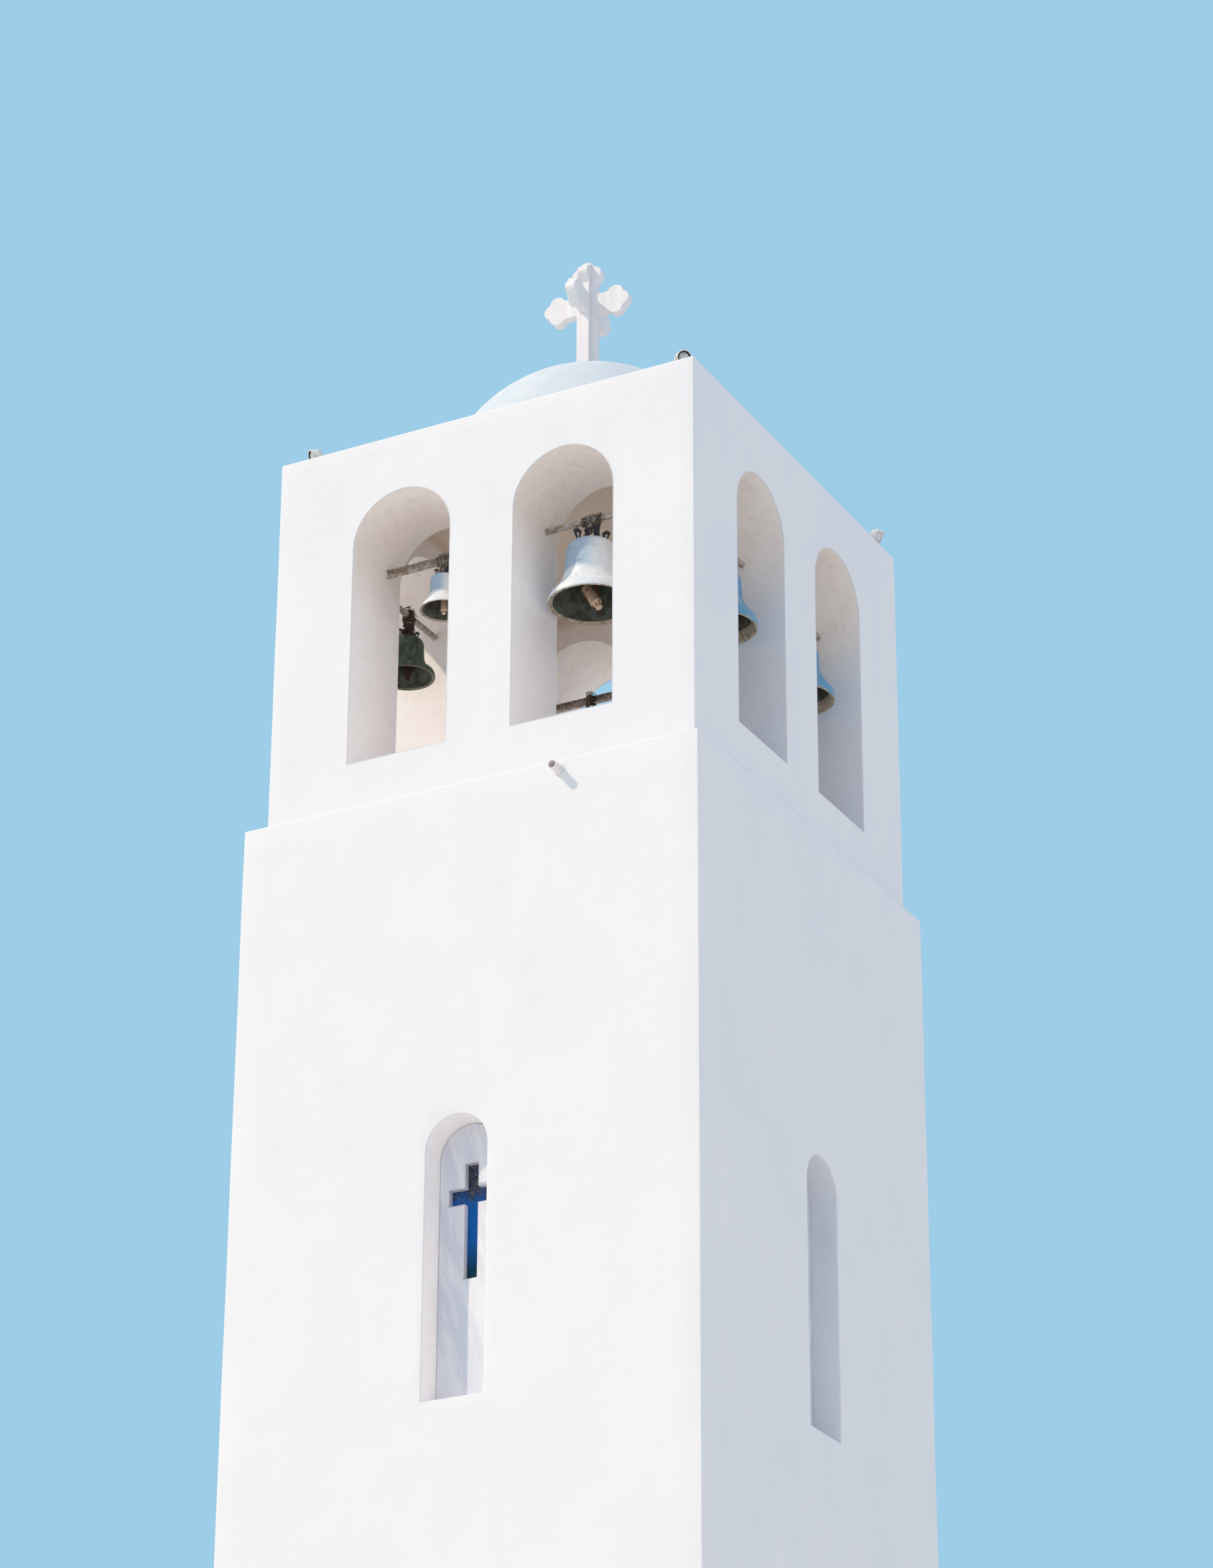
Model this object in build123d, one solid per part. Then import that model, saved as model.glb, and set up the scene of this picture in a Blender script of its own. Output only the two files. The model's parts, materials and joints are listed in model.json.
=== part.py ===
"""A whitewashed Greek island bell tower: a square shaft, a belfry with eight arches and bells, a dome and a cross.

Frame: +Z up, X right along the front face, Y into the depth, origin at the middle of the base. Millimetres.
"""
import os
from math import atan2, cos, degrees, hypot, isclose, pi, sin, sqrt
from typing import NamedTuple

from build123d import *

# Shaft: walls of plastered rubble masonry from the ground to the ledge
SHAFT_WIDTH = 3700.0
SHAFT_DEPTH = 3720.0
SHAFT_HEIGHT = 15650.0
SHAFT_ARRIS = 32.0

# Belfry: set back behind the ledge, a little off the shaft's middle
BELFRY_WIDTH = 3500.0
BELFRY_DEPTH = 3475.0
BELFRY_HEIGHT = 3087.0
BELFRY_WALL = 690.0
BELFRY_SHIFT_X = 14.0
BELFRY_SHIFT_Y = 6.0
BELFRY_ARRIS = 26.0

# Arched openings, two in each face, each beside its corner pier and measured up from the ledge
FRONT_CORNER_PIER = 662.0
SIDE_CORNER_PIER = 691.5
FRONT_OPENING_WIDTH = 822.0
SIDE_OPENING_WIDTH = 780.0
OPENING_SILL = 428.0
OPENING_CROWN = 2615.0

# Floors and roof, fitted between the walls
GROUND_FLOOR_THICKNESS = 150.0
FLOOR_DROP = 110.0
FLOOR_THICKNESS = 220.0
ROOF_THICKNESS = 222.0

# Dome: part of a sphere whose centre lies under the roof's top
DOME_RADIUS = 1224.0
DOME_CENTRE_DROP = 65.0
DOME_WALL = 150.0

# Cross of two crossing plates with soft three-lobed ends, turned a little on its seat
CROSS_SEAT_RADIUS = 100.0
CROSS_SHIFT_X = -60.0
CROSS_TURN = 4.5
CROSS_PLATE = 78.0
CROSS_BAR = 160.0
CROSS_ARM_HEIGHT = 717.0
CROSS_TOP_HEIGHT = 1105.0
CROSS_REACH = 360.0
LOBE_RADIUS = 64.0
LOBE_SPREAD = 60.0
LOBE_SETBACK = 112.0
LOBE_NOTCH = 20.0
ARM_FLARE = 50.0

# Shaft windows: a round-headed slot through the wall, closed by a panel with a glazed cross
WINDOW_WIDTH = 480.0
WINDOW_SILL_DROP = 4550.0
WINDOW_CROWN_DROP = 2530.0
WINDOW_SHIFT_FRONT = -20.0
WINDOW_SHIFT_SIDE = 26.0
PANEL_DEPTH = 212.0
PANEL_THICKNESS = 60.0
PANEL_FIT = 0.3
PANEL_CROSS_HEIGHT = 835.0
PANEL_CROSS_SPAN = 352.0
PANEL_CROSS_STEM = 104.0
PANEL_CROSS_ARM = 118.0
PANEL_CROSS_TOP_DROP = 282.0
PANEL_CROSS_ARM_DROP = 234.0
PANEL_CROSS_BEVEL = 14.0
GLASS_THICKNESS = 8.0
GLASS_MARGIN = 20.0

# Drain of the belfry's floor
DRAIN_RADIUS = 31.5
DRAIN_BORE_RADIUS = 28.5
DRAIN_REACH = 100.0
DRAIN_INSET = 1000.0
DRAIN_FIT = 0.3
DRAIN_COLLAR_RADIUS = 39.0
DRAIN_COLLAR_LENGTH = 22.0

# Spot lamps near the corners of the roof
LAMP_RADIUS = 55.0
LAMP_LENGTH = 92.0
LAMP_BACK_RADIUS = 30.0
LAMP_BACK_TAPER = 34.0
LAMP_HEIGHT = 118.0
LAMP_WALL = 5.0
LAMP_RECESS = 14.0
LAMP_TILT = 20.0
LAMP_FORK_THICKNESS = 5.0
LAMP_FORK_WIDTH = 20.0
LAMP_FIT = 0.3
LAMP_POST_RADIUS = 9.0
LAMP_FOOT_RADIUS = 34.0
LAMP_FOOT_HEIGHT = 8.0
LAMP_INSETS = [(190.0, 190.0), (190.0, 197.0), (70.0, 190.0), (190.0, 197.0)]

# Beams that carry the bells: steel tube, or channel with its open side to the front
TUBE_RADIUS = 24.0
TUBE_WALL = 4.0
CHANNEL_HEIGHT = 60.0
CHANNEL_DEPTH = 34.0
CHANNEL_WALL = 6.0
BEAM_SEAT = 60.0
BEAM_FIT = 0.3


class Hanging(NamedTuple):
    """One bell and its beam: heights over the ledge, depth from the wall's face, aside from the opening's middle."""

    wall: str
    side: str
    radius: float
    aside: float
    mouth: float
    beam_height: float
    beam_depth: float
    beam: str
    chains: int
    shoulder: float
    striker_lean: float


HANGINGS = [
    Hanging("front", "left", 180.0, 87.0, 1795.0, 2225.0, 497.0, "channel", 2, 0.15, 0.0),
    Hanging("front", "right", 323.0, -29.0, 1547.0, 2252.0, 510.0, "tube", 2, 0.15, 22.0),
    Hanging("left", "front", 212.0, -5.0, 1650.0, 2180.0, 512.0, "tube", 1, 0.26, 0.0),
    Hanging("left", "back", 212.0, 5.0, 1650.0, 2180.0, 512.0, "tube", 1, 0.26, 0.0),
    Hanging("right", "front", 285.0, -1.0, 1430.0, 2150.0, 350.0, "tube", 1, 0.15, 0.0),
    Hanging("right", "back", 285.0, 1.0, 1430.0, 2150.0, 350.0, "tube", 1, 0.15, 0.0),
    Hanging("back", "left", 250.0, -3.0, 1550.0, 2178.0, 500.0, "channel", 1, 0.15, 0.0),
    Hanging("back", "right", 250.0, 3.0, 1550.0, 2178.0, 500.0, "tube", 1, 0.15, 0.0),
]

# Bells, as shares of the mouth's radius: out from the axis and up from the mouth
BELL_LIP_TOP = (1.0, 0.06)
BELL_BOW = (0.965, 0.155)
BELL_BOW_TOP = (0.91, 0.24)
BELL_FLARE = (0.735, 0.48)
BELL_WAIST = (0.632, 0.80)
BELL_SHOULDER = (0.56, 1.56)
BELL_CROWN = 1.58
BELL_LIP_WALL = 0.10
BELL_WALL = 0.05
RING_HEIGHTS = (0.20, 0.28, 1.24, 1.33)
RING_WIDTH = 0.022
RING_RISE = 0.010

# Canons on a bell's head, as shares of the mouth's radius: two posts with a round bar, and four ears round them
CANON_HEIGHT = 0.44
CANON_BAR_RADIUS = 0.05
CANON_POST = 0.075
EAR_OUTLINE = [(0.23, -0.04), (0.40, -0.04), (0.36, 0.13), (0.43, 0.32), (0.33, 0.36), (0.24, 0.29), (0.265, 0.14)]
EAR_HOLE = [(0.295, 0.05), (0.335, 0.05), (0.33, 0.14), (0.37, 0.29), (0.29, 0.27), (0.305, 0.14)]
EAR_THICKNESS = 0.06
EAR_TURN = 38.0

# Staple under a bell's head, and the clapper on its pin
PIN_RADIUS = 7.0
EYE_CLEARANCE = 0.5
EYE_WALL = 9.0
EYE_WIDTH = 16.0
STAPLE_GAP = 3.0
STAPLE_LUG = 10.0
STAPLE_DROP = 26.0
ROD_WIDTH = 0.07
ROD_THICKNESS = 0.045
ROD_END = 0.13
STRIKER_RADIUS = 0.133
STRIKER_LENGTH = 0.50
STRIKER_GROOVE = 0.03
BALL_RADIUS = 0.105
NECK_RADIUS = 0.08
NECK_LENGTH = 0.155
NECK_BORE = 0.025

# Chains: each loop runs over the beam and under the canon's bar
LINK_BAR = 7.0
LINK_ROOM = 10.0
LINK_LENGTH = 28.0
LINK_CHAMFER = 2.05
LINK_END_CHAMFER = 6.0
CHAIN_FIT = 0.3
LOOP_GAP = 1.0

LEDGE = SHAFT_HEIGHT
ROOF = LEDGE + BELFRY_HEIGHT
INNER_X = BELFRY_WIDTH / 2 - BELFRY_WALL
INNER_Y = BELFRY_DEPTH / 2 - BELFRY_WALL
BELFRY_CENTRE = Vector(BELFRY_SHIFT_X, BELFRY_SHIFT_Y, 0)
FRONT_OPENING_X = BELFRY_WIDTH / 2 - FRONT_CORNER_PIER - FRONT_OPENING_WIDTH / 2
SIDE_OPENING_Y = BELFRY_DEPTH / 2 - SIDE_CORNER_PIER - SIDE_OPENING_WIDTH / 2
DRAIN_X = BELFRY_WIDTH / 2 - DRAIN_INSET
DRAIN_HEIGHT = LEDGE - FLOOR_DROP + DRAIN_RADIUS
LINK_WIDTH = LINK_ROOM + 2 * LINK_BAR


def block(x0, x1, y0, y1, z0, z1):
    """Box between three pairs of limits."""
    return Pos((x0 + x1) / 2, (y0 + y1) / 2, (z0 + z1) / 2) * Box(x1 - x0, y1 - y0, z1 - z0)


def rounded_block(x0, x1, y0, y1, z0, z1, arris):
    """Box whose upright and upper edges are rounded, as a plasterer leaves them."""
    box = block(x0, x1, y0, y1, z0, z1)
    return fillet(box.edges().filter_by(Axis.Z) + box.edges().group_by(Axis.Z)[-1], arris)


def arch_cutter(width, sill, crown, length):
    """Round-headed bar along Y, centred on x = 0 and y = 0."""
    radius = width / 2
    spring = crown - radius
    body = Pos(0, 0, (sill + spring) / 2) * Box(width, length, spring - sill)
    head = Pos(0, 0, spring) * Rot(90, 0, 0) * Cylinder(radius, length)
    return body + head


def on_front(shape, x, y):
    """A shape made along Y, moved to its place in the front or back wall."""
    return Pos(x, y, 0) * shape


def on_side(shape, x, y):
    """A shape made along Y, turned to run along X in a side wall."""
    return Pos(x, y, 0) * Rot(0, 0, 90) * shape


def shaft_limits():
    """Outer and inner faces of the shaft, whose inner faces line up with the belfry's."""
    outer = (-SHAFT_WIDTH / 2, SHAFT_WIDTH / 2, -SHAFT_DEPTH / 2, SHAFT_DEPTH / 2)
    inner = (BELFRY_SHIFT_X - INNER_X, BELFRY_SHIFT_X + INNER_X, BELFRY_SHIFT_Y - INNER_Y, BELFRY_SHIFT_Y + INNER_Y)
    return outer, inner


def split_walls(name, mass, outer, inner, low, high):
    """Front, back, left and right walls cut from a mass: the front and back ones take the corners."""
    left, right, front, back = outer
    inner_left, inner_right, inner_front, inner_back = inner
    return {
        f"{name}_front_wall": mass & block(left, right, front, inner_front, low, high),
        f"{name}_back_wall": mass & block(left, right, inner_back, back, low, high),
        f"{name}_left_wall": mass & block(left, inner_left, inner_front, inner_back, low, high),
        f"{name}_right_wall": mass & block(inner_right, right, inner_front, inner_back, low, high),
    }


def shaft_walls():
    """Four shaft walls, each with its window slot cut through, and the front one with the drain's hole."""
    outer, inner = shaft_limits()
    left, right, front, back = outer
    slot = arch_cutter(WINDOW_WIDTH, LEDGE - WINDOW_SILL_DROP, LEDGE - WINDOW_CROWN_DROP, BELFRY_WALL * 4)
    walls = split_walls("shaft", rounded_block(*outer, 0, LEDGE, SHAFT_ARRIS), outer, inner, 0, LEDGE)
    walls["shaft_front_wall"] -= on_front(slot, WINDOW_SHIFT_FRONT, front) + drain_bar(DRAIN_RADIUS + DRAIN_FIT)
    walls["shaft_back_wall"] -= on_front(slot, -WINDOW_SHIFT_FRONT, back)
    walls["shaft_left_wall"] -= on_side(slot, left, -WINDOW_SHIFT_SIDE)
    walls["shaft_right_wall"] -= on_side(slot, right, WINDOW_SHIFT_SIDE)
    return walls


def belfry_walls():
    """Four belfry walls, each with two round-headed openings and seats for its beams."""
    x = BELFRY_WIDTH / 2
    y = BELFRY_DEPTH / 2
    front_arch = arch_cutter(FRONT_OPENING_WIDTH, LEDGE + OPENING_SILL, LEDGE + OPENING_CROWN, BELFRY_WALL * 2)
    side_arch = arch_cutter(SIDE_OPENING_WIDTH, LEDGE + OPENING_SILL, LEDGE + OPENING_CROWN, BELFRY_WALL * 2)
    mass = rounded_block(-x, x, -y, y, LEDGE, ROOF, BELFRY_ARRIS)
    walls = split_walls("belfry", mass, (-x, x, -y, y), (-INNER_X, INNER_X, -INNER_Y, INNER_Y), LEDGE, ROOF)
    for side in (-1, 1):
        walls["belfry_front_wall"] -= on_front(front_arch, side * FRONT_OPENING_X, -y + BELFRY_WALL / 2)
        walls["belfry_back_wall"] -= on_front(front_arch, side * FRONT_OPENING_X, y - BELFRY_WALL / 2)
        walls["belfry_left_wall"] -= on_side(side_arch, -x + BELFRY_WALL / 2, side * SIDE_OPENING_Y)
        walls["belfry_right_wall"] -= on_side(side_arch, x - BELFRY_WALL / 2, side * SIDE_OPENING_Y)
    for hanging in HANGINGS:
        socket = beam_place(hanging) * beam_socket(hanging)
        for name in {f"belfry_{hanging.wall}_wall", "belfry_front_wall", "belfry_back_wall"}:
            walls[name] -= socket
    return {name: Pos(BELFRY_CENTRE) * wall for name, wall in walls.items()}


def drain_bar(radius):
    """Solid round bar where the drain pipe lies: from its mouth to the shaft's inner face."""
    (_, _, front, _), (_, _, inner_front, _) = shaft_limits()
    length = inner_front - (front - DRAIN_REACH)
    return Pos(DRAIN_X, front - DRAIN_REACH + length / 2, DRAIN_HEIGHT) * Rot(90, 0, 0) * Cylinder(radius, length)


def drain():
    """Drain pipe, with its invert level with the belfry's floor, and the collar of mortar round it."""
    (_, _, front, _), _ = shaft_limits()
    pipe = drain_bar(DRAIN_RADIUS) - drain_bar(DRAIN_BORE_RADIUS)
    ring = Cylinder(DRAIN_COLLAR_RADIUS, DRAIN_COLLAR_LENGTH) - Cylinder(DRAIN_RADIUS + DRAIN_FIT, DRAIN_COLLAR_LENGTH)
    collar = Pos(DRAIN_X, front - DRAIN_COLLAR_LENGTH / 2, DRAIN_HEIGHT) * Rot(90, 0, 0) * ring
    return {"drain_pipe": pipe, "drain_collar": collar}


def slabs():
    """Ground floor, belfry floor and roof, each fitted between the walls."""
    _, inner = shaft_limits()
    floor_top = LEDGE - FLOOR_DROP
    return {
        "ground_floor": block(*inner, 0, GROUND_FLOOR_THICKNESS),
        "belfry_floor": block(*inner, floor_top - FLOOR_THICKNESS, floor_top),
        "roof_slab": block(*inner, ROOF - ROOF_THICKNESS, ROOF),
    }


def dome_seat_height():
    """Height of the small flat on the dome's crown, under the cross."""
    return ROOF - DOME_CENTRE_DROP + sqrt(DOME_RADIUS**2 - CROSS_SEAT_RADIUS**2)


def dome():
    """Shell of the dome, cut level with the roof and flattened under the cross."""
    centre = Pos(0, 0, ROOF - DOME_CENTRE_DROP)
    shell = centre * Sphere(DOME_RADIUS) - centre * Sphere(DOME_RADIUS - DOME_WALL)
    keep = block(-DOME_RADIUS, DOME_RADIUS, -DOME_RADIUS, DOME_RADIUS, ROOF, dome_seat_height())
    return {"dome": Pos(BELFRY_CENTRE) * (shell & keep)}


def trefoil(direction, reach):
    """Three round lobes at the end of an arm that reaches along direction, as a flat sketch."""
    across = Vector(-direction.Y, direction.X)
    places = [(reach - LOBE_RADIUS, 0), (reach - LOBE_SETBACK, LOBE_SPREAD), (reach - LOBE_SETBACK, -LOBE_SPREAD)]
    lobes = [direction * along + across * aside for along, aside in places]
    return Sketch() + [Pos(place.X, place.Y) * Circle(LOBE_RADIUS) for place in lobes]


def cross_plate():
    """One plate of the cross, drawn flat and stood up in the XZ plane with its foot at the origin."""
    middle = Pos(0, CROSS_ARM_HEIGHT)
    face = Pos(0, CROSS_TOP_HEIGHT / 2 - LOBE_RADIUS / 2) * Rectangle(CROSS_BAR, CROSS_TOP_HEIGHT - LOBE_RADIUS)
    face += middle * Rectangle(2 * (CROSS_REACH - LOBE_RADIUS), CROSS_BAR)
    face += middle * trefoil(Vector(0, 1), CROSS_TOP_HEIGHT - CROSS_ARM_HEIGHT)
    for side in (-1, 1):
        face += middle * trefoil(Vector(side, 0), CROSS_REACH)
    notches = []
    flares = []
    for corner in face.vertices().filter_by(lambda v: v.Y > CROSS_BAR):
        on_stem = isclose(abs(corner.X), CROSS_BAR / 2, abs_tol=0.01)
        on_arm = isclose(abs(corner.Y - CROSS_ARM_HEIGHT), CROSS_BAR / 2, abs_tol=0.01)
        (flares if on_stem != on_arm else notches).append(corner)
    face = fillet(flares, ARM_FLARE)
    soft = [v for v in face.vertices() if any((v.center() - notch.center()).length < 0.01 for notch in notches)]
    face = fillet(soft, LOBE_NOTCH)
    return Rot(90, 0, 0) * extrude(face, CROSS_PLATE / 2, both=True)


def roof_cross():
    """Two equal plates crossing at right angles, as one piece."""
    plate = cross_plate()
    place = Pos(BELFRY_SHIFT_X + CROSS_SHIFT_X, BELFRY_SHIFT_Y, dome_seat_height())
    return {"roof_cross": place * Rot(0, 0, CROSS_TURN) * (plate + Rot(0, 0, 90) * plate)}


def panel_cross(margin=0.0):
    """Latin cross of the window panel, as a flat sketch with its top at the origin."""
    stem = Pos(0, -PANEL_CROSS_HEIGHT / 2) * Rectangle(PANEL_CROSS_STEM + 2 * margin, PANEL_CROSS_HEIGHT + 2 * margin)
    arms = Pos(0, -PANEL_CROSS_ARM_DROP) * Rectangle(PANEL_CROSS_SPAN + 2 * margin, PANEL_CROSS_ARM + 2 * margin)
    return stem + arms


def window_set(place):
    """Panel and glass of one window, made in the XZ plane facing -Y and moved to its wall."""
    crown = LEDGE - WINDOW_CROWN_DROP
    top = crown - PANEL_CROSS_TOP_DROP
    back = PANEL_DEPTH + PANEL_THICKNESS
    solid = arch_cutter(WINDOW_WIDTH - 2 * PANEL_FIT, LEDGE - WINDOW_SILL_DROP, crown - PANEL_FIT, PANEL_THICKNESS)
    solid = Pos(0, back - PANEL_THICKNESS / 2, 0) * solid
    solid -= Pos(0, back, top) * Rot(90, 0, 0) * extrude(panel_cross(), PANEL_THICKNESS)
    rim = loft([panel_cross(), Pos(0, 0, PANEL_CROSS_BEVEL) * panel_cross(PANEL_CROSS_BEVEL)])
    solid -= Pos(0, PANEL_DEPTH + PANEL_CROSS_BEVEL, top) * Rot(90, 0, 0) * rim
    glass = extrude(panel_cross(GLASS_MARGIN), GLASS_THICKNESS)
    return place * solid, place * Pos(0, back + GLASS_THICKNESS, top) * Rot(90, 0, 0) * glass


def windows():
    """The four windows' panels, one node each, and their glass, together in one node."""
    (left, right, front, back), _ = shaft_limits()
    places = {
        "front_window_panel": Pos(WINDOW_SHIFT_FRONT, front, 0),
        "back_window_panel": Pos(-WINDOW_SHIFT_FRONT, back, 0) * Rot(0, 0, 180),
        "left_window_panel": Pos(left, -WINDOW_SHIFT_SIDE, 0) * Rot(0, 0, -90),
        "right_window_panel": Pos(right, WINDOW_SHIFT_SIDE, 0) * Rot(0, 0, 90),
    }
    nodes = {}
    panes = []
    for name, place in places.items():
        nodes[name], pane = window_set(place)
        panes.append(pane)
    nodes["window_glass"] = panes
    return nodes


def lamp():
    """One spot lamp: foot, post, fork and a round housing with a recessed lens that looks along +X and down."""
    outline = Polyline(
        (0, -LAMP_LENGTH / 2),
        (LAMP_BACK_RADIUS, -LAMP_LENGTH / 2),
        (LAMP_RADIUS, -LAMP_LENGTH / 2 + LAMP_BACK_TAPER),
        (LAMP_RADIUS, LAMP_LENGTH / 2),
        (LAMP_RADIUS - LAMP_WALL, LAMP_LENGTH / 2),
        (LAMP_RADIUS - LAMP_WALL, LAMP_LENGTH / 2 - LAMP_RECESS),
        (0, LAMP_LENGTH / 2 - LAMP_RECESS),
        close=True,
    )
    housing = Rot(0, 90 + LAMP_TILT, 0) * revolve(Plane.XZ * make_face(outline), Axis.Z)
    reach = LAMP_RADIUS + LAMP_FORK_THICKNESS
    fork = Box(LAMP_FORK_WIDTH, 2 * reach, LAMP_FORK_THICKNESS)
    fork = Pos(0, 0, -reach + LAMP_FORK_THICKNESS / 2) * fork
    for side in (-1, 1):
        arm = Box(LAMP_FORK_WIDTH, LAMP_FORK_THICKNESS, reach + LAMP_FORK_WIDTH / 2)
        fork += Pos(0, side * (reach - LAMP_FORK_THICKNESS / 2), (LAMP_FORK_WIDTH / 2 - reach) / 2) * arm
    head_height = LAMP_FOOT_HEIGHT + LAMP_HEIGHT - LAMP_RADIUS
    foot = Pos(0, 0, LAMP_FOOT_HEIGHT / 2) * Cylinder(LAMP_FOOT_RADIUS, LAMP_FOOT_HEIGHT)
    post = Pos(0, 0, head_height / 4) * Cylinder(LAMP_POST_RADIUS, head_height / 2)
    return foot + post + Pos(0, 0, head_height) * (housing + fork)


def roof_lamps():
    """Four lamps in one node, each near its corner of the roof and looking out over it."""
    corners = [(-1, -1), (1, -1), (1, 1), (-1, 1)]
    turns = [-135, -45, 45, 135]
    lamps = []
    for (side_x, side_y), turn, (inset_x, inset_y) in zip(corners, turns, LAMP_INSETS):
        x = BELFRY_SHIFT_X + side_x * (BELFRY_WIDTH / 2 - inset_x)
        y = BELFRY_SHIFT_Y + side_y * (BELFRY_DEPTH / 2 - inset_y)
        lamps.append(Pos(x, y, ROOF) * Rot(0, 0, turn) * lamp())
    return {"roof_lamps": lamps}


def bell_outer_radius(share):
    """Outside of a bell, as a share of its mouth's radius, at a height share above its lip and under its shoulder."""
    points = [BELL_LIP_TOP, BELL_BOW, BELL_BOW_TOP, BELL_FLARE, BELL_WAIST, BELL_SHOULDER]
    for (low_out, low), (high_out, high) in zip(points, points[1:]):
        if low <= share <= high:
            return low_out + (high_out - low_out) * (share - low) / (high - low)
    return BELL_SHOULDER[0]


def bell_shell(hanging):
    """Shell of the bell: one turned profile, with its lip, bow, flare, waist, rounded shoulder and crown."""
    radius = hanging.radius

    def at(share, inset=0.0):
        return ((share[0] - inset) * radius, share[1] * radius)

    crown = BELL_CROWN * radius
    under_crown = (BELL_CROWN - BELL_WALL) * radius
    inner_shoulder = (BELL_SHOULDER[0] - BELL_WALL, BELL_SHOULDER[1] - BELL_WALL)
    mouth_edge = ((1 - BELL_LIP_WALL) * radius, 0)
    outline = [
        Line(mouth_edge, (BELL_LIP_TOP[0] * radius - BELL_LIP_TOP[1] * radius / 2, 0)),
        Line((BELL_LIP_TOP[0] * radius - BELL_LIP_TOP[1] * radius / 2, 0), at(BELL_LIP_TOP)),
        ThreePointArc(at(BELL_LIP_TOP), at(BELL_BOW), at(BELL_BOW_TOP)),
        ThreePointArc(at(BELL_BOW_TOP), at(BELL_FLARE), at(BELL_WAIST)),
        Line(at(BELL_WAIST), at(BELL_SHOULDER)),
        Line(at(BELL_SHOULDER), (0, crown)),
        Line((0, crown), (0, under_crown)),
        Line((0, under_crown), at(inner_shoulder)),
        Line(at(inner_shoulder), at(BELL_WAIST, BELL_WALL)),
        ThreePointArc(at(BELL_WAIST, BELL_WALL), at(BELL_FLARE, BELL_WALL * 1.3), at(BELL_BOW_TOP, BELL_LIP_WALL)),
        Line(at(BELL_BOW_TOP, BELL_LIP_WALL), mouth_edge),
    ]
    face = make_face(outline)
    corners = [v for v in face.vertices() if v.X > radius / 4 and v.Y > (BELL_SHOULDER[1] - 2 * BELL_WALL) * radius]
    outer = max(corners, key=lambda v: v.Y)
    face = fillet([outer], hanging.shoulder * radius)
    inner = [v for v in face.vertices() if (v.center() - Vector(*at(inner_shoulder))).length < 0.01]
    face = fillet(inner, (hanging.shoulder - BELL_WALL) * radius)
    return revolve(Plane.XZ * face, Axis.Z)


def bell_rings(radius):
    """Raised rings round the bow and under the shoulder."""
    rings = []
    for share in RING_HEIGHTS:
        out = bell_outer_radius(share) * radius
        section = Pos(out - BELL_WALL * radius / 2 + RING_RISE * radius / 2, share * radius)
        section *= Rectangle((BELL_WALL + RING_RISE) * radius, RING_WIDTH * radius)
        rings.append(revolve(Plane.XZ * section, Axis.Z))
    return rings


def chain_room(chains):
    """Width that the loops of chain take, side by side, between the posts of the canons."""
    return chains * LINK_WIDTH + (chains + 1) * LOOP_GAP


def canons(hanging):
    """Two posts with a round bar between them for the chain, and four ears that flare outwards."""
    radius = hanging.radius
    bar = CANON_BAR_RADIUS * radius
    post = CANON_POST * radius
    height = CANON_HEIGHT * radius
    foot = (BELL_CROWN - BELL_WALL / 2) * radius
    top = BELL_CROWN * radius + height
    parts = []
    for side in (-1, 1):
        x = side * (chain_room(hanging.chains) + post) / 2
        body = Box(post, 2 * bar, top - foot)
        parts.append(Pos(x, 0, (top + foot) / 2) * chamfer(body.edges().group_by(Axis.Z)[-1], bar / 2))
    parts.append(Pos(0, 0, top - bar) * Rot(0, 90, 0) * Cylinder(bar, chain_room(hanging.chains) + post))
    outline = Polyline(*[(r * radius, z * radius) for r, z in EAR_OUTLINE], close=True)
    hole = Polyline(*[(r * radius, z * radius) for r, z in EAR_HOLE], close=True)
    ear = Plane.XZ * (make_face(outline) - make_face(hole))
    ear = Pos(0, 0, BELL_CROWN * radius) * extrude(ear, EAR_THICKNESS * radius / 2, both=True)
    for turn in (EAR_TURN, 180 - EAR_TURN, 180 + EAR_TURN, -EAR_TURN):
        parts.append(Rot(0, 0, turn) * ear)
    return parts


def staple(radius):
    """Two lugs under the bell's head and the pin between them, along Y, that the clapper hangs on."""
    base = (BELL_CROWN - BELL_WALL) * radius
    inside = EYE_WIDTH / 2 + STAPLE_GAP
    parts = [Pos(0, 0, base - STAPLE_DROP) * Rot(90, 0, 0) * Cylinder(PIN_RADIUS, 2 * (inside + STAPLE_LUG))]
    for side in (-1, 1):
        lug = Box(PIN_RADIUS * 2, STAPLE_LUG, STAPLE_DROP + PIN_RADIUS + BELL_WALL * radius / 2)
        height = base - STAPLE_DROP / 2 - PIN_RADIUS / 2 + BELL_WALL * radius / 4
        parts.append(Pos(0, side * (inside + STAPLE_LUG / 2), height) * lug)
    return parts


def bell(hanging):
    """Bell with its rings, canons and staple, cast as one, with its mouth in the plane z = 0."""
    turn = 0 if hanging.wall in ("front", "back") else 90
    crown = [Rot(0, 0, turn) * part for part in canons(hanging)]
    return bell_shell(hanging) + bell_rings(hanging.radius) + crown + staple(hanging.radius)


def pivot_height(radius):
    """Height of the staple's pin over the bell's mouth."""
    return (BELL_CROWN - BELL_WALL) * radius - STAPLE_DROP


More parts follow.
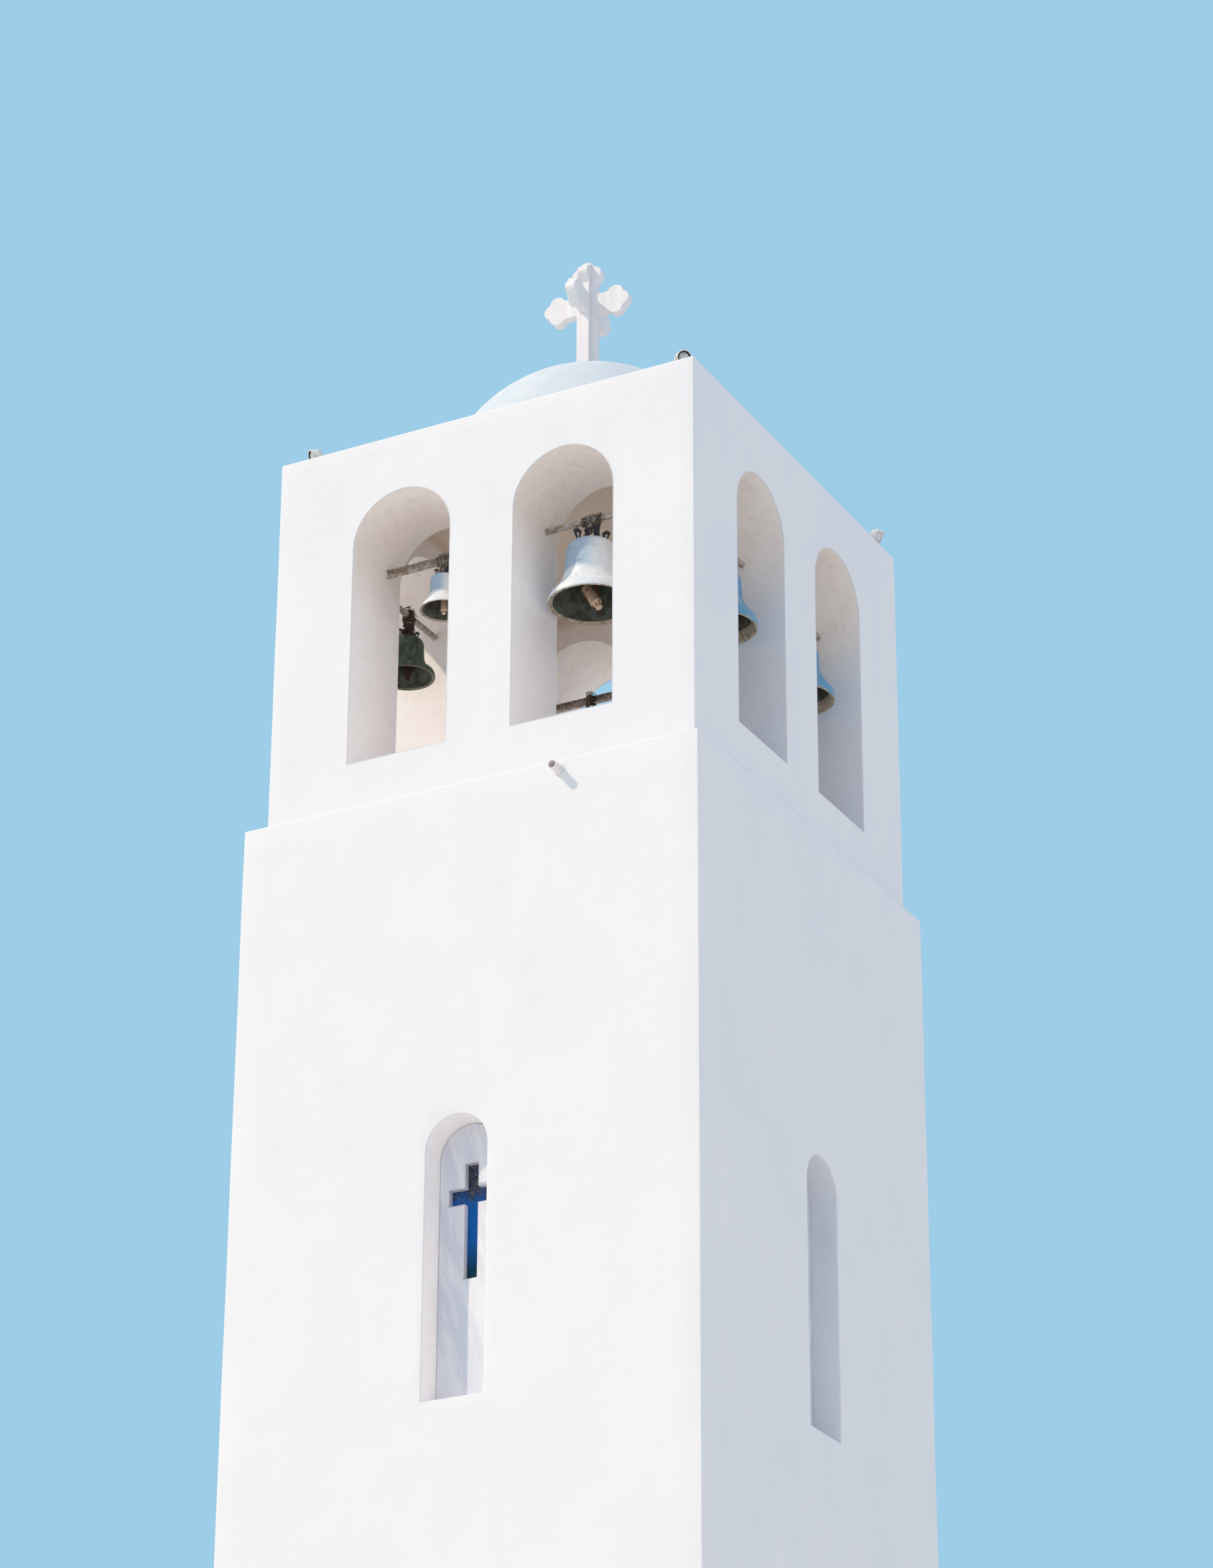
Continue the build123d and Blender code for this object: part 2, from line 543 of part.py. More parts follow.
def striker(radius):
    """Worn striker with its lower end at the origin: bored neck, barrel, groove and ball, along Z."""
    neck = Cylinder(NECK_RADIUS * radius, NECK_LENGTH * radius)
    neck -= Rot(90, 0, 0) * Cylinder(NECK_BORE * radius, 2 * NECK_RADIUS * radius)
    low = NECK_LENGTH * radius
    high = low + STRIKER_LENGTH * radius
    parts = [
        Pos(0, 0, low / 2) * neck,
        Pos(0, 0, (low + high) / 2) * Cylinder(STRIKER_RADIUS * radius, high - low),
        Pos(0, 0, high + STRIKER_GROOVE * radius / 2) * Cylinder(NECK_RADIUS * radius, STRIKER_GROOVE * radius),
        Pos(0, 0, high + (STRIKER_GROOVE + BALL_RADIUS / 2) * radius) * Sphere(BALL_RADIUS * radius),
    ]
    return Part() + parts


def clapper(hanging):
    """Clapper on its pin: eye, flat rod and striker, swung so that its weight hangs under the pin."""
    radius = hanging.radius
    pivot = pivot_height(radius)
    bore = PIN_RADIUS + EYE_CLEARANCE
    eye = Rot(90, 0, 0) * (Cylinder(bore + EYE_WALL, EYE_WIDTH) - Cylinder(bore, EYE_WIDTH))
    low = -ROD_END * radius - pivot
    top = -bore - EYE_WALL / 2
    rod = Pos(0, 0, (low + top) / 2) * Box(ROD_WIDTH * radius, ROD_THICKNESS * radius, top - low)
    body = eye + rod + Pos(0, 0, low) * Rot(0, -hanging.striker_lean, 0) * striker(radius)
    weight = body.center(CenterOf.MASS)
    return Pos(0, 0, pivot) * Rot(0, degrees(atan2(weight.X, -weight.Z)), 0) * body


def beam_place(hanging):
    """Middle of a beam in its opening, in the belfry's own frame, with X turned to run along the beam."""
    height = LEDGE + hanging.beam_height
    side = -1 if hanging.side in ("left", "front") else 1
    if hanging.wall == "front":
        return Pos(side * FRONT_OPENING_X, hanging.beam_depth - BELFRY_DEPTH / 2, height)
    if hanging.wall == "back":
        return Pos(side * FRONT_OPENING_X, BELFRY_DEPTH / 2 - hanging.beam_depth, height)
    depth = BELFRY_WIDTH / 2 - hanging.beam_depth
    return Pos(-depth if hanging.wall == "left" else depth, side * SIDE_OPENING_Y, height) * Rot(0, 0, 90)


def beam_length(hanging):
    """Clear width of the opening and a seat in each jamb."""
    return (FRONT_OPENING_WIDTH if hanging.wall in ("front", "back") else SIDE_OPENING_WIDTH) + 2 * BEAM_SEAT


def beam_socket(hanging):
    """What is cut from the jambs for a beam, with its fit."""
    length = beam_length(hanging)
    if hanging.beam == "tube":
        return Rot(0, 90, 0) * Cylinder(TUBE_RADIUS + BEAM_FIT, length)
    return Box(length, CHANNEL_DEPTH + 2 * BEAM_FIT, CHANNEL_HEIGHT + 2 * BEAM_FIT)


def beam(hanging):
    """Tube or channel along X, centred on the origin."""
    length = beam_length(hanging)
    if hanging.beam == "tube":
        return Rot(0, 90, 0) * (Cylinder(TUBE_RADIUS, length) - Cylinder(TUBE_RADIUS - TUBE_WALL, length))
    hollow = Box(length, CHANNEL_DEPTH, CHANNEL_HEIGHT - 2 * CHANNEL_WALL)
    return Box(length, CHANNEL_DEPTH, CHANNEL_HEIGHT) - Pos(0, -CHANNEL_WALL, 0) * hollow


def link(inner_length):
    """One chain link with its long way along X, lying in the XY plane: a flat ring with all its edges eased."""
    outside = Rectangle(inner_length + 2 * LINK_BAR, LINK_WIDTH)
    inside = Rectangle(inner_length, LINK_ROOM)
    outside = chamfer(outside.vertices(), LINK_END_CHAMFER)
    inside = chamfer(inside.vertices(), LINK_END_CHAMFER / 2)
    ring = extrude(outside - inside, LINK_BAR / 2, both=True)
    return chamfer(ring.edges().filter_by(Plane.XY), LINK_CHAMFER)


def loop_joints(top_radius, low_radius, drop, standing):
    """Places where links meet, in the YZ plane round the beam at the origin and the canon's bar below it."""
    lean = atan2(top_radius - low_radius, sqrt(drop**2 - (top_radius - low_radius) ** 2))
    straight = drop * cos(lean)
    top_arc = top_radius * (pi / 2 + lean)
    low_arc = low_radius * (pi / 2 - lean)
    total = 2 * (top_arc + straight + low_arc)
    flat = LINK_LENGTH + LINK_BAR
    pairs = 2 * max(1, round(total / (2 * (standing + flat))))

    def place(run):
        side = 1 if run < total / 2 else -1
        run = min(run, total - run)
        if run < top_arc:
            turn = run / top_radius
            return Vector(0, side * top_radius * sin(turn), top_radius * cos(turn))
        if run < top_arc + straight:
            along = run - top_arc
            y = top_radius * cos(lean) - along * sin(lean)
            z = -top_radius * sin(lean) - along * cos(lean)
            return Vector(0, side * y, z)
        turn = (total / 2 - run) / low_radius
        return Vector(0, side * low_radius * sin(turn), -drop - low_radius * cos(turn))

    step = total / pairs
    middles = [step * count for count in range(pairs)]
    return [place((middle + half) % total) for middle in middles for half in (-standing / 2, standing / 2)]


def chain_loop(hanging, drop):
    """Closed loop of links with the beam at the origin: upright links rest on the beam and the canon's bar."""
    corner = hypot(LINK_BAR / 2, LINK_BAR / 2 - LINK_CHAMFER)
    standing = LINK_LENGTH - 2 * (corner + CHAIN_FIT)
    half = TUBE_RADIUS if hanging.beam == "tube" else CHANNEL_HEIGHT / 2
    reach = CHAIN_FIT + LINK_WIDTH / 2
    top_radius = hypot(half + reach, standing / 2)
    low_radius = hypot(CANON_BAR_RADIUS * hanging.radius + reach, standing / 2)
    joints = loop_joints(top_radius, low_radius, drop, standing)
    links = []
    for count, (start, end) in enumerate(zip(joints, joints[1:] + joints[:1])):
        run = end - start
        upright = count % 2 == 0
        length = run.length + 2 * (corner + CHAIN_FIT) if upright else run.length - LINK_BAR
        normal = Vector(1, 0, 0) if upright else run.cross(Vector(1, 0, 0))
        links.append(Plane((start + end) / 2, x_dir=run, z_dir=normal).location * link(length))
    return links


def chains(hanging):
    """Loops of chain side by side, with the beam at the origin and along X."""
    canon_bar = hanging.mouth + (BELL_CROWN + CANON_HEIGHT - CANON_BAR_RADIUS) * hanging.radius
    loop = chain_loop(hanging, hanging.beam_height - canon_bar)
    step = LINK_WIDTH + LOOP_GAP
    offsets = [(count - (hanging.chains - 1) / 2) * step for count in range(hanging.chains)]
    return [Pos(offset, 0, 0) * piece for offset in offsets for piece in loop]


def bells():
    """Bells, clappers, beams and the chains that tie the bells to the beams."""
    nodes = {}
    beams = {}
    loops = {}
    for hanging in HANGINGS:
        carrier = Pos(BELFRY_CENTRE) * beam_place(hanging)
        beams.setdefault(hanging.wall, []).append(carrier * beam(hanging))
        upper = carrier.position
        along_x = hanging.wall in ("front", "back")
        x = upper.X + (hanging.aside if along_x else 0)
        y = upper.Y + (0 if along_x else hanging.aside)
        name = f"{hanging.wall}_{hanging.side}"
        place = Pos(x, y, LEDGE + hanging.mouth)
        nodes["bell_" + name] = place * bell(hanging)
        nodes["clapper_" + name] = place * clapper(hanging)
        turn = Rot(0, 0, 0 if along_x else 90)
        loops.setdefault(hanging.wall, []).extend(Pos(x, y, upper.Z) * turn * piece for piece in chains(hanging))
    for wall, pieces in beams.items():
        nodes["bell_beams_" + wall] = pieces
    for wall, pieces in loops.items():
        nodes["bell_chains_" + wall] = pieces
    return nodes


def all_nodes():
    """Every node of the tower by name."""
    nodes = {}
    for group in (shaft_walls(), belfry_walls(), drain(), slabs(), dome(), roof_cross(), windows(), roof_lamps(), bells()):
        nodes.update(group)
    return nodes


def main():
    """Writes one STEP file for each node."""
    os.makedirs("parts", exist_ok=True)
    for name, shape in all_nodes().items():
        pieces = shape if isinstance(shape, list) else shape.solids()
        solids = [piece.solid() for piece in pieces]
        export_step(Compound(label=name, children=solids), f"parts/{name}.step")
        print(name, len(solids))


main()
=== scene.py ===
# %% [markdown]
# A Greek island bell tower
#
# The tower is a tall square shaft of whitewashed rubble masonry. The belfry on it has two arches in each
# face, a bell in every arch, a low dome and a small stone cross. The tower's solids are already there as a
# frame, in metres, and this lesson gives them their finish: lime plaster that a hand has smoothed, veined
# marble, blue glass, chipped bell paint, green bronze and rust.

import json
from math import cos, pi, radians, sin, tau

import bmesh
import bpy
from mathutils import Matrix, Vector, noise

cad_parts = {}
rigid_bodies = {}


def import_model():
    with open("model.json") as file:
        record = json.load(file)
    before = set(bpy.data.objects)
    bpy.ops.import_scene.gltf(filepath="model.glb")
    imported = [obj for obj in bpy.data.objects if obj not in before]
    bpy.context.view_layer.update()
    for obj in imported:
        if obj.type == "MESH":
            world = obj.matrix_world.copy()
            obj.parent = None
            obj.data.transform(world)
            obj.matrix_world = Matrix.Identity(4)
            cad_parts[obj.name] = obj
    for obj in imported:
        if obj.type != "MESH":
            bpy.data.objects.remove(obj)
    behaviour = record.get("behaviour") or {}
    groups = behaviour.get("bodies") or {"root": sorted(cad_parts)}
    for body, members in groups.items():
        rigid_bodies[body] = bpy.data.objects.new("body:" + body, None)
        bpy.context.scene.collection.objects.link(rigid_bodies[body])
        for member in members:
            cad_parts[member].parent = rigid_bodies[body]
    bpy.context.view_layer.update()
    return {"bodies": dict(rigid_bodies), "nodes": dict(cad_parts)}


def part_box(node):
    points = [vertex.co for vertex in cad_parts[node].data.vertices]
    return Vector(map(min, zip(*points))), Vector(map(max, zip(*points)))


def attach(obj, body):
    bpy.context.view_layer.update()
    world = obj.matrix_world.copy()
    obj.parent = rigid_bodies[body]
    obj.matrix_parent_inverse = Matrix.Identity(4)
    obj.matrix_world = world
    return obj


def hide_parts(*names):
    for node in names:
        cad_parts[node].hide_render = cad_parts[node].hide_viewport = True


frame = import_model()
scene = bpy.context.scene
TOWER = "tower"
UP = Vector((0, 0, 1))
print("nodes in the frame:", len(frame["nodes"]))


def as_object(name, data):
    """A new object of the scene from a mesh, a curve, a camera or a light."""
    thing = bpy.data.objects.new(name, data)
    scene.collection.objects.link(thing)
    return thing


def facing(first, second, third):
    """The turn that brings the X, Y and Z axes to three directions."""
    return Matrix((first, second, third)).transposed().to_4x4()


# %% [markdown]
# Where the pieces are
#
# Every size that the frame holds is read from it. The ledge is where the shaft ends and the belfry
# begins, and the roof is where the belfry ends.

# %% Read the main levels
def corners(points):
    """Lowest and highest corner of the box round some points."""
    low = Vector([min(point[axis] for point in points) for axis in range(3)])
    high = Vector([max(point[axis] for point in points) for axis in range(3)])
    return low, high


def span(*nodes):
    """Lowest and highest corner of several nodes together."""
    return corners([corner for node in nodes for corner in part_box(node)])


SIDES = ("front", "back", "left", "right")
SHAFT_LOW, SHAFT_HIGH = span(*[f"shaft_{side}_wall" for side in SIDES])
BELFRY_LOW, BELFRY_HIGH = span(*[f"belfry_{side}_wall" for side in SIDES])
ROOM_LOW, ROOM_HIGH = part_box("belfry_floor")
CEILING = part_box("roof_slab")[0].z
LEDGE = SHAFT_HIGH.z
ROOF = BELFRY_HIGH.z
BELFRY_X = (BELFRY_LOW.x + BELFRY_HIGH.x) / 2
BELFRY_Y = (BELFRY_LOW.y + BELFRY_HIGH.y) / 2
print("ledge", round(LEDGE, 3), "roof", round(ROOF, 3), "ceiling", round(CEILING, 3))

# %% [markdown]
# The camera
#
# The photograph was taken from the ground with a long lens, looking up at the tower. The place and the
# three angles come from a perspective fit of the tower's own edges, and the lens is the focal length that
# goes with them on a 36 mm sensor along the picture's long side.

# %% Place the camera
EYE = Vector((14.589, -27.072, 1.593))
YAW = radians(28.09)
PITCH = radians(25.74)
ROLL = radians(0.25)
FOCAL_PIXELS = 6350.9
PICTURE_HEIGHT = 2184
SENSOR = 36.0
FAR_END = 300

camera = as_object("camera", bpy.data.cameras.new("camera"))
scene.camera = camera
camera.data.sensor_fit = "AUTO"
camera.data.sensor_width = SENSOR
camera.data.lens = FOCAL_PIXELS / PICTURE_HEIGHT * SENSOR
camera.data.clip_end = FAR_END
look = Vector((-sin(YAW) * cos(PITCH), cos(YAW) * cos(PITCH), sin(PITCH)))
level = Vector((cos(YAW), sin(YAW), 0))
right = level * cos(ROLL) + level.cross(look) * sin(ROLL)
up = right.cross(look)
camera.matrix_world = Matrix.Translation(EYE) @ facing(right, up, -look)
print("lens", round(camera.data.lens, 2), "mm")

# %% [markdown]
# The light
#
# A clear sky lights the shaded faces with a soft, slightly blue light, and the sun from the left of the
# camera draws the edge of every arch. The sun is just strong enough for that, because a stronger one would
# burn the whitewash's texture away. The backdrop is a colour for the camera, gloss and glass alone, so it
# can be pale blue without colouring the tower.

# %% Light the scene
SUN_DIRECTION = Vector((0.556, 0.470, -0.686))
SUN_STRENGTH = 2.42
SUN_COLOUR = (1.0, 0.85, 0.66)
SUN_SIZE = radians(1.2)
SKY_COLOUR = (0.64, 0.712, 0.828, 1)
BACKDROP_COLOUR = (0.34, 0.61, 0.80, 1)
FLOOR_SIZE = 120.0

sun = as_object("sun", bpy.data.lights.new("sun", "SUN"))
sun.data.energy = SUN_STRENGTH
sun.data.color = SUN_COLOUR
sun.data.angle = SUN_SIZE
sun.matrix_world = SUN_DIRECTION.to_track_quat("-Z", "Y").to_matrix().to_4x4()

world = bpy.data.worlds.new("sky")
scene.world = world
world.use_nodes = True
sky = world.node_tree
path = sky.nodes.new("ShaderNodeLightPath")
seen = path.outputs["Is Camera Ray"]
for ray in ("Is Glossy Ray", "Is Transmission Ray"):
    either = sky.nodes.new("ShaderNodeMath")
    either.operation = "MAXIMUM"
    sky.links.new(seen, either.inputs[0])
    sky.links.new(path.outputs[ray], either.inputs[1])
    seen = either.outputs[0]
tint = sky.nodes.new("ShaderNodeMix")
tint.data_type = "RGBA"
sky.links.new(seen, tint.inputs[0])
tint.inputs[6].default_value = SKY_COLOUR
tint.inputs[7].default_value = BACKDROP_COLOUR
sky.links.new(tint.outputs[2], sky.nodes["Background"].inputs["Color"])

scene.view_settings.view_transform = "Standard"

# %% [markdown]
# Shader maths as Python
#
# A material is a network of nodes, and a network that is wired by hand soon hides what it works out. The
# small class below wraps one output socket, so that an expression such as 1 - mask * 0.5 adds the Math
# nodes for itself. Colours are mixed with a Mix node, because a Math node would turn them grey.

# %% Wrap a socket
class Wire:
    """One output socket that takes part in Python expressions."""

    def __init__(self, finish, socket):
        self.finish = finish
        self.socket = socket

    def __add__(self, other):
        return self.finish.sums("ADD", self, other)

    def __sub__(self, other):
        return self.finish.sums("SUBTRACT", self, other)

    def __mul__(self, other):
        return self.finish.sums("MULTIPLY", self, other)

    def __truediv__(self, other):
        return self.finish.sums("DIVIDE", self, other)

    def __rsub__(self, other):
        return self.finish.sums("SUBTRACT", other, self)

    __radd__ = __add__
    __rmul__ = __mul__


# %% [markdown]
# One method adds any node
#
# A finish is a material with a few helpers. The method node takes the node's type, its settings and what
# goes into its sockets, which may be numbers or wires. The patterns that this tower needs are then one
# line each: clouds of noise, a ramp between two levels, and a mix of two colours.

# %% Make a finish
def colour(red, green, blue):
    """A colour as the eye reads it, 0 to 255, made into the shader's linear numbers."""
    channels = [value / 255 for value in (red, green, blue)]
    linear = [c / 12.92 if c <= 0.04045 else ((c + 0.055) / 1.055) ** 2.4 for c in channels]
    return (*linear, 1.0)


class Finish:
    """A material, with short ways to add the nodes that this tower's finishes are made of."""

    def __init__(self, name, roughness=0.6, metallic=0.0, **fixed):
        self.material = bpy.data.materials.new(name)
        self.material.use_nodes = True
        self.tree = self.material.node_tree
        self.shader = self.tree.nodes["Principled BSDF"]
        self.shader.inputs["Roughness"].default_value = roughness
        self.shader.inputs["Metallic"].default_value = metallic
        for socket, value in fixed.items():
            self.shader.inputs[socket.replace("_", " ")].default_value = value
        self.place = self.node("ShaderNodeTexCoord", output="Object")

    def node(self, kind, settings=None, output=0, **sockets):
        """Adds a node, sets it up, fills its sockets and gives back one of its outputs as a wire."""
        node = self.tree.nodes.new(kind)
        for key, value in (settings or {}).items():
            setattr(node, key, value)
        for key, value in sockets.items():
            socket = node.inputs[int(key[1:]) if key[1:].isdigit() else key.replace("_", " ")]
            if isinstance(value, Wire):
                self.tree.links.new(value.socket, socket)
            else:
                socket.default_value = value
        return Wire(self, node.outputs[output])

    def sums(self, operation, first, second):
        """Adds a Math node."""
        return self.node("ShaderNodeMath", {"operation": operation}, _0=first, _1=second)

    def clouds(self, size, detail=3.0, rough=0.55, stretch=(1, 1, 1), twist=0.0, lean=(0, 0, 0)):
        """Noise whose lumps are about size metres across, from 0 to 1."""
        turned = self.node("ShaderNodeMapping", {"vector_type": "TEXTURE"}, Vector=self.place, Rotation=lean)
        scaled = self.node("ShaderNodeMapping", Vector=turned, Scale=[1 / size / s for s in stretch])
        grain = {"Scale": 1.0, "Detail": detail, "Roughness": rough, "Distortion": twist}
        return self.node("ShaderNodeTexNoise", Vector=scaled, **grain)

    def ramp(self, value, low, high, first=0.0, last=1.0):
        """Runs from first to last while value goes from low to high, and stays there."""
        settings = {"clamp": True, "interpolation_type": "SMOOTHSTEP"}
        return self.node("ShaderNodeMapRange", settings, _0=value, _1=low, _2=high, _3=first, _4=last)

    def mix(self, mask, first, last):
        """Colour that goes from first to last with a mask. Each is a wire or a colour from 0 to 255."""
        first, last = [tone if isinstance(tone, Wire) else colour(*tone) for tone in (first, last)]
        return self.node("ShaderNodeMix", {"data_type": "RGBA"}, output=2, _0=mask, _6=first, _7=last)

    def axis(self, number):
        """One coordinate of the place on the piece."""
        return self.node("ShaderNodeSeparateXYZ", output=number, Vector=self.place)

    def bump(self, height, depth, under=None):
        """Bump from a height between 0 and 1 that stands for a relief of depth metres."""
        below = {"Normal": under} if under else {}
        return self.node("ShaderNodeBump", Height=height, Distance=depth, Strength=1.0, **below)

    def relief(self, *layers, under=None):
        """Bumps made of clouds, each given by its size, its detail and its depth."""
        for size, detail, depth in layers:
            under = self.bump(self.clouds(size, detail), depth, under)
        return under

    def give(self, **results):
        """Links the results to the shader's sockets."""
        for socket, value in results.items():
            target = self.shader.inputs[socket.replace("_", " ")]
            if isinstance(value, Wire):
                self.tree.links.new(value.socket, target)
            else:
                target.default_value = value
        return self


# %% [markdown]
# Whitewash
#
# The walls are lime plaster under many coats of whitewash, plain white from far away. Inside the arches the
# coats are older and rougher, and turn to tan at the heads of the arches and on the ceiling. The inside is
# also painted brighter than the outer faces, as painted bounce light, and the inside of the right-hand wall
# is painted darker and bluer, as painted shade. The mask for that is how deep a point lies behind the outer
# faces, worked out from the place alone.

# %% Mix the whitewash
HEADS_FROM = 1.55
NO_HEADS = 10.0


def depth_behind_faces(finish, low, high):
    """How far a point lies inside the outer faces of an upright box, in metres."""
    depth = None
    for number in (0, 1):
        place = finish.axis(number)
        nearest = finish.sums("MINIMUM", place - low[number], high[number] - place)
        depth = nearest if depth is None else finish.sums("MINIMUM", depth, nearest)
    return depth


def whitewash(name, low, high, inside_from):
    """Whitewashed plaster that ages towards the inside of the box and the top of its openings, with painted
    bounce light inside and painted shade inside its right wall.
    """
    finish = Finish(name, roughness=0.9)
    height = finish.axis(2)
    depth = depth_behind_faces(finish, low, high)
    below_top = finish.ramp(height, high[2] - 0.10, high[2] - 0.05, 1.0, 0.0)
    inside = finish.ramp(depth, 0.008, 0.020) * below_top
    patches = finish.clouds(0.7, 4.0)
    fine = finish.clouds(0.09, 3.0)
    brushed = finish.clouds(0.25, 4.0, stretch=(1, 1, 3))
    coat = finish.ramp(patches * 0.6 + brushed * 0.4, 0.35, 0.65)
    outer = finish.mix(coat, (234, 234, 235), (230, 231, 233))
    specks = finish.ramp(finish.clouds(0.06, 5.0, 0.62), 0.48, 0.78)
    # The jambs inside are painted nearly white, brighter than the outer faces, as painted bounce light.
    painted_light_jamb = finish.mix(finish.ramp(fine, 0.3, 0.7), (253, 249, 248), (250, 245, 243))
    # Painted shade: inside the right-hand wall the jambs turn a darker blue-grey.
    painted_shade_side = finish.ramp(finish.axis(0), ROOM_HIGH.x - 0.05, ROOM_HIGH.x + 0.10)
    painted_light_jamb = finish.mix(painted_shade_side, painted_light_jamb, (226, 228, 232))
    # The heads are tan from age, and also painted brighter than the outer faces as painted bounce light.
    aged_head_and_painted_bounce = finish.mix(finish.ramp(patches, 0.3, 0.7), (250, 243, 237), (245, 234, 225))
    aged_head_and_painted_bounce = finish.mix(specks * 0.55, aged_head_and_painted_bounce, (228, 212, 198))
    rise = finish.ramp(height + (patches - 0.5) * 0.35, inside_from, inside_from + 0.75)
    inner = finish.mix(rise, painted_light_jamb, aged_head_and_painted_bounce)
    ceiling = finish.ramp(height, inside_from + 1.18, inside_from + 1.28)
    inner = finish.mix(ceiling, inner, (232, 214, 196))
    rougher = inside * 0.65 + 0.35
    strokes = finish.clouds(0.10, 4.0, stretch=(2.2, 2.2, 1))
    normal = finish.relief((0.45, 2.0, 0.005))
    normal = finish.bump(strokes * rougher, 0.0065, normal)
    normal = finish.bump(finish.clouds(0.012, 3.0) * rougher, 0.0026, normal)
    return finish.give(Base_Color=finish.mix(inside, outer, inner), Normal=normal)


shaft_wash = whitewash("shaft_whitewash", SHAFT_LOW, SHAFT_HIGH, LEDGE + NO_HEADS)
belfry_wash = whitewash("belfry_whitewash", BELFRY_LOW, BELFRY_HIGH, LEDGE + HEADS_FROM)
print("whitewash nodes:", len(belfry_wash.tree.nodes))

# %% [markdown]
# From a bmesh to a piece
#
# Each piece is made in a bmesh, which is a mesh that Python can hold and change. It becomes an object with
# its finishes, smooth where it is round and crisp where an edge is sharper than an angle. The piece then
# rides on the tower and stands for the solids that it dresses. A solid that stays as it is only gets a
# finish.

# %% Turn a bmesh into a piece
CRISP_ANGLE = radians(40)


def as_mesh(bm, name="part"):
    """A mesh from a bmesh, which it uses up."""
    mesh = bpy.data.meshes.new(name)
    bm.to_mesh(mesh)
    bm.free()
    return mesh


def merge(bm, distance):
    """Makes points that lie closer than a distance one."""
    bmesh.ops.remove_doubles(bm, verts=bm.verts[:], dist=distance)


def face_out(bm):
    """Turns every face's front side outwards."""
    bmesh.ops.recalc_face_normals(bm, faces=bm.faces[:])


def set_at(bm, turning, way):
    """Turns a whole bmesh about the origin and then moves it."""
    bmesh.ops.rotate(bm, cent=(0, 0, 0), matrix=turning, verts=bm.verts[:])
    bmesh.ops.translate(bm, vec=way, verts=bm.verts[:])


def pull_out(bm, made, way):
    """Moves the points that an extrusion has made."""
    moved = [item for item in made["geom"] if isinstance(item, bmesh.types.BMVert)]
    bmesh.ops.translate(bm, vec=way, verts=moved)


def join(bm, mesh, finish_number=None):
    """Adds a mesh to a bmesh, with its faces given one finish, and removes the mesh."""
    before = len(bm.faces)
    bm.from_mesh(mesh)
    bpy.data.meshes.remove(mesh)
    if finish_number is not None:
        bm.faces.ensure_lookup_table()
        for face in bm.faces[before:]:
            face.material_index = finish_number


def worked_out(thing):
    """What an object's modifiers or its curve come to, as a bmesh."""
    mesh = bpy.data.meshes.new_from_object(thing.evaluated_get(bpy.context.evaluated_depsgraph_get()))
    bm = bmesh.new()
    join(bm, mesh)
    return bm


def make_piece(name, bm, finishes, stands_for=(), body=TOWER):
    """Object at the origin from a bmesh, which it uses up."""
    mesh = as_mesh(bm, name)
    mesh.shade_smooth()
    mesh.set_sharp_from_angle(angle=CRISP_ANGLE)
    piece = as_object(name, mesh)
    for finish in finishes:
        mesh.materials.append(finish.material)
    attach(piece, body)
    if stands_for:
        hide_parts(*stands_for)
    print(name, "faces:", len(mesh.polygons))
    return piece


def refinish(node, finish):
    """Gives a solid of the frame a finish in place of its plain one."""
    materials = frame["nodes"][node].data.materials
    materials.clear()
    materials.append(finish.material)


# %% [markdown]
# Masonry with soft corners
#
# Rubble walls are plastered by hand, so every corner is a little round and no face is dead flat. A box has
# the room and the arches cut out of it by a Boolean. Its corners are bevelled, its faces are sliced so
# that they have points to move, and each point sinks into the wall by a few millimetres of smooth noise.

# %% Build a box and an arch
def box_bar(low, high):
    """A box between two corners, as a bmesh of its own."""
    bm = bmesh.new()
    bmesh.ops.create_cube(bm, size=1.0)
    bmesh.ops.scale(bm, vec=Vector(high) - Vector(low), verts=bm.verts[:])
    bmesh.ops.translate(bm, vec=(Vector(low) + Vector(high)) / 2, verts=bm.verts[:])
    return bm


ARCH_SEGMENTS = 56
MERGE_CUT = 1e-4


def arch_bar(width, sill, crown, low, high, across_x, middle):
    """A round-headed bar, as a bmesh of its own, that runs from low to high across a wall."""
    bm = bmesh.new()
    half = width / 2
    bmesh.ops.create_circle(bm, cap_ends=True, segments=ARCH_SEGMENTS, radius=half)
    for vert in bm.verts:
        if vert.co.y < -1e-5:
            vert.co.y = sill - crown + half
            vert.co.x = half if vert.co.x > 1e-5 else -half if vert.co.x < -1e-5 else 0
    merge(bm, MERGE_CUT)
    pull_out(bm, bmesh.ops.extrude_face_region(bm, geom=bm.faces[:]), (0, 0, high - low))
    set_at(bm, Matrix.Rotation(pi / 2, 3, "X"), (0, high, crown - half))
    if across_x:
        set_at(bm, Matrix.Rotation(-pi / 2, 3, "Z"), (0, middle, 0))
    else:
        set_at(bm, Matrix.Identity(3), (middle, 0, 0))
    face_out(bm)
    return bm


def carve(bm, cutters):
    """Cuts each cutter, a closed bmesh, out of a mass and gives the result as a new bmesh."""
    mass = as_object("mass", as_mesh(bm))
    tools = [as_object("tool", as_mesh(cutter)) for cutter in cutters]
    for tool in tools:
        cut = mass.modifiers.new("cut", "BOOLEAN")
        cut.operation = "DIFFERENCE"
        cut.solver = "EXACT"
        cut.object = tool
    result = worked_out(mass)
    for thing in [mass, *tools]:
        bpy.data.objects.remove(thing)
    merge(result, MERGE_CUT)
    return result


# %% Soften the corners and trowel the faces
LONG_WAVE = 0.005
SHORT_WAVE = 0.0014
STILL_BELOW = 0.002
STILL_ABOVE = 0.004


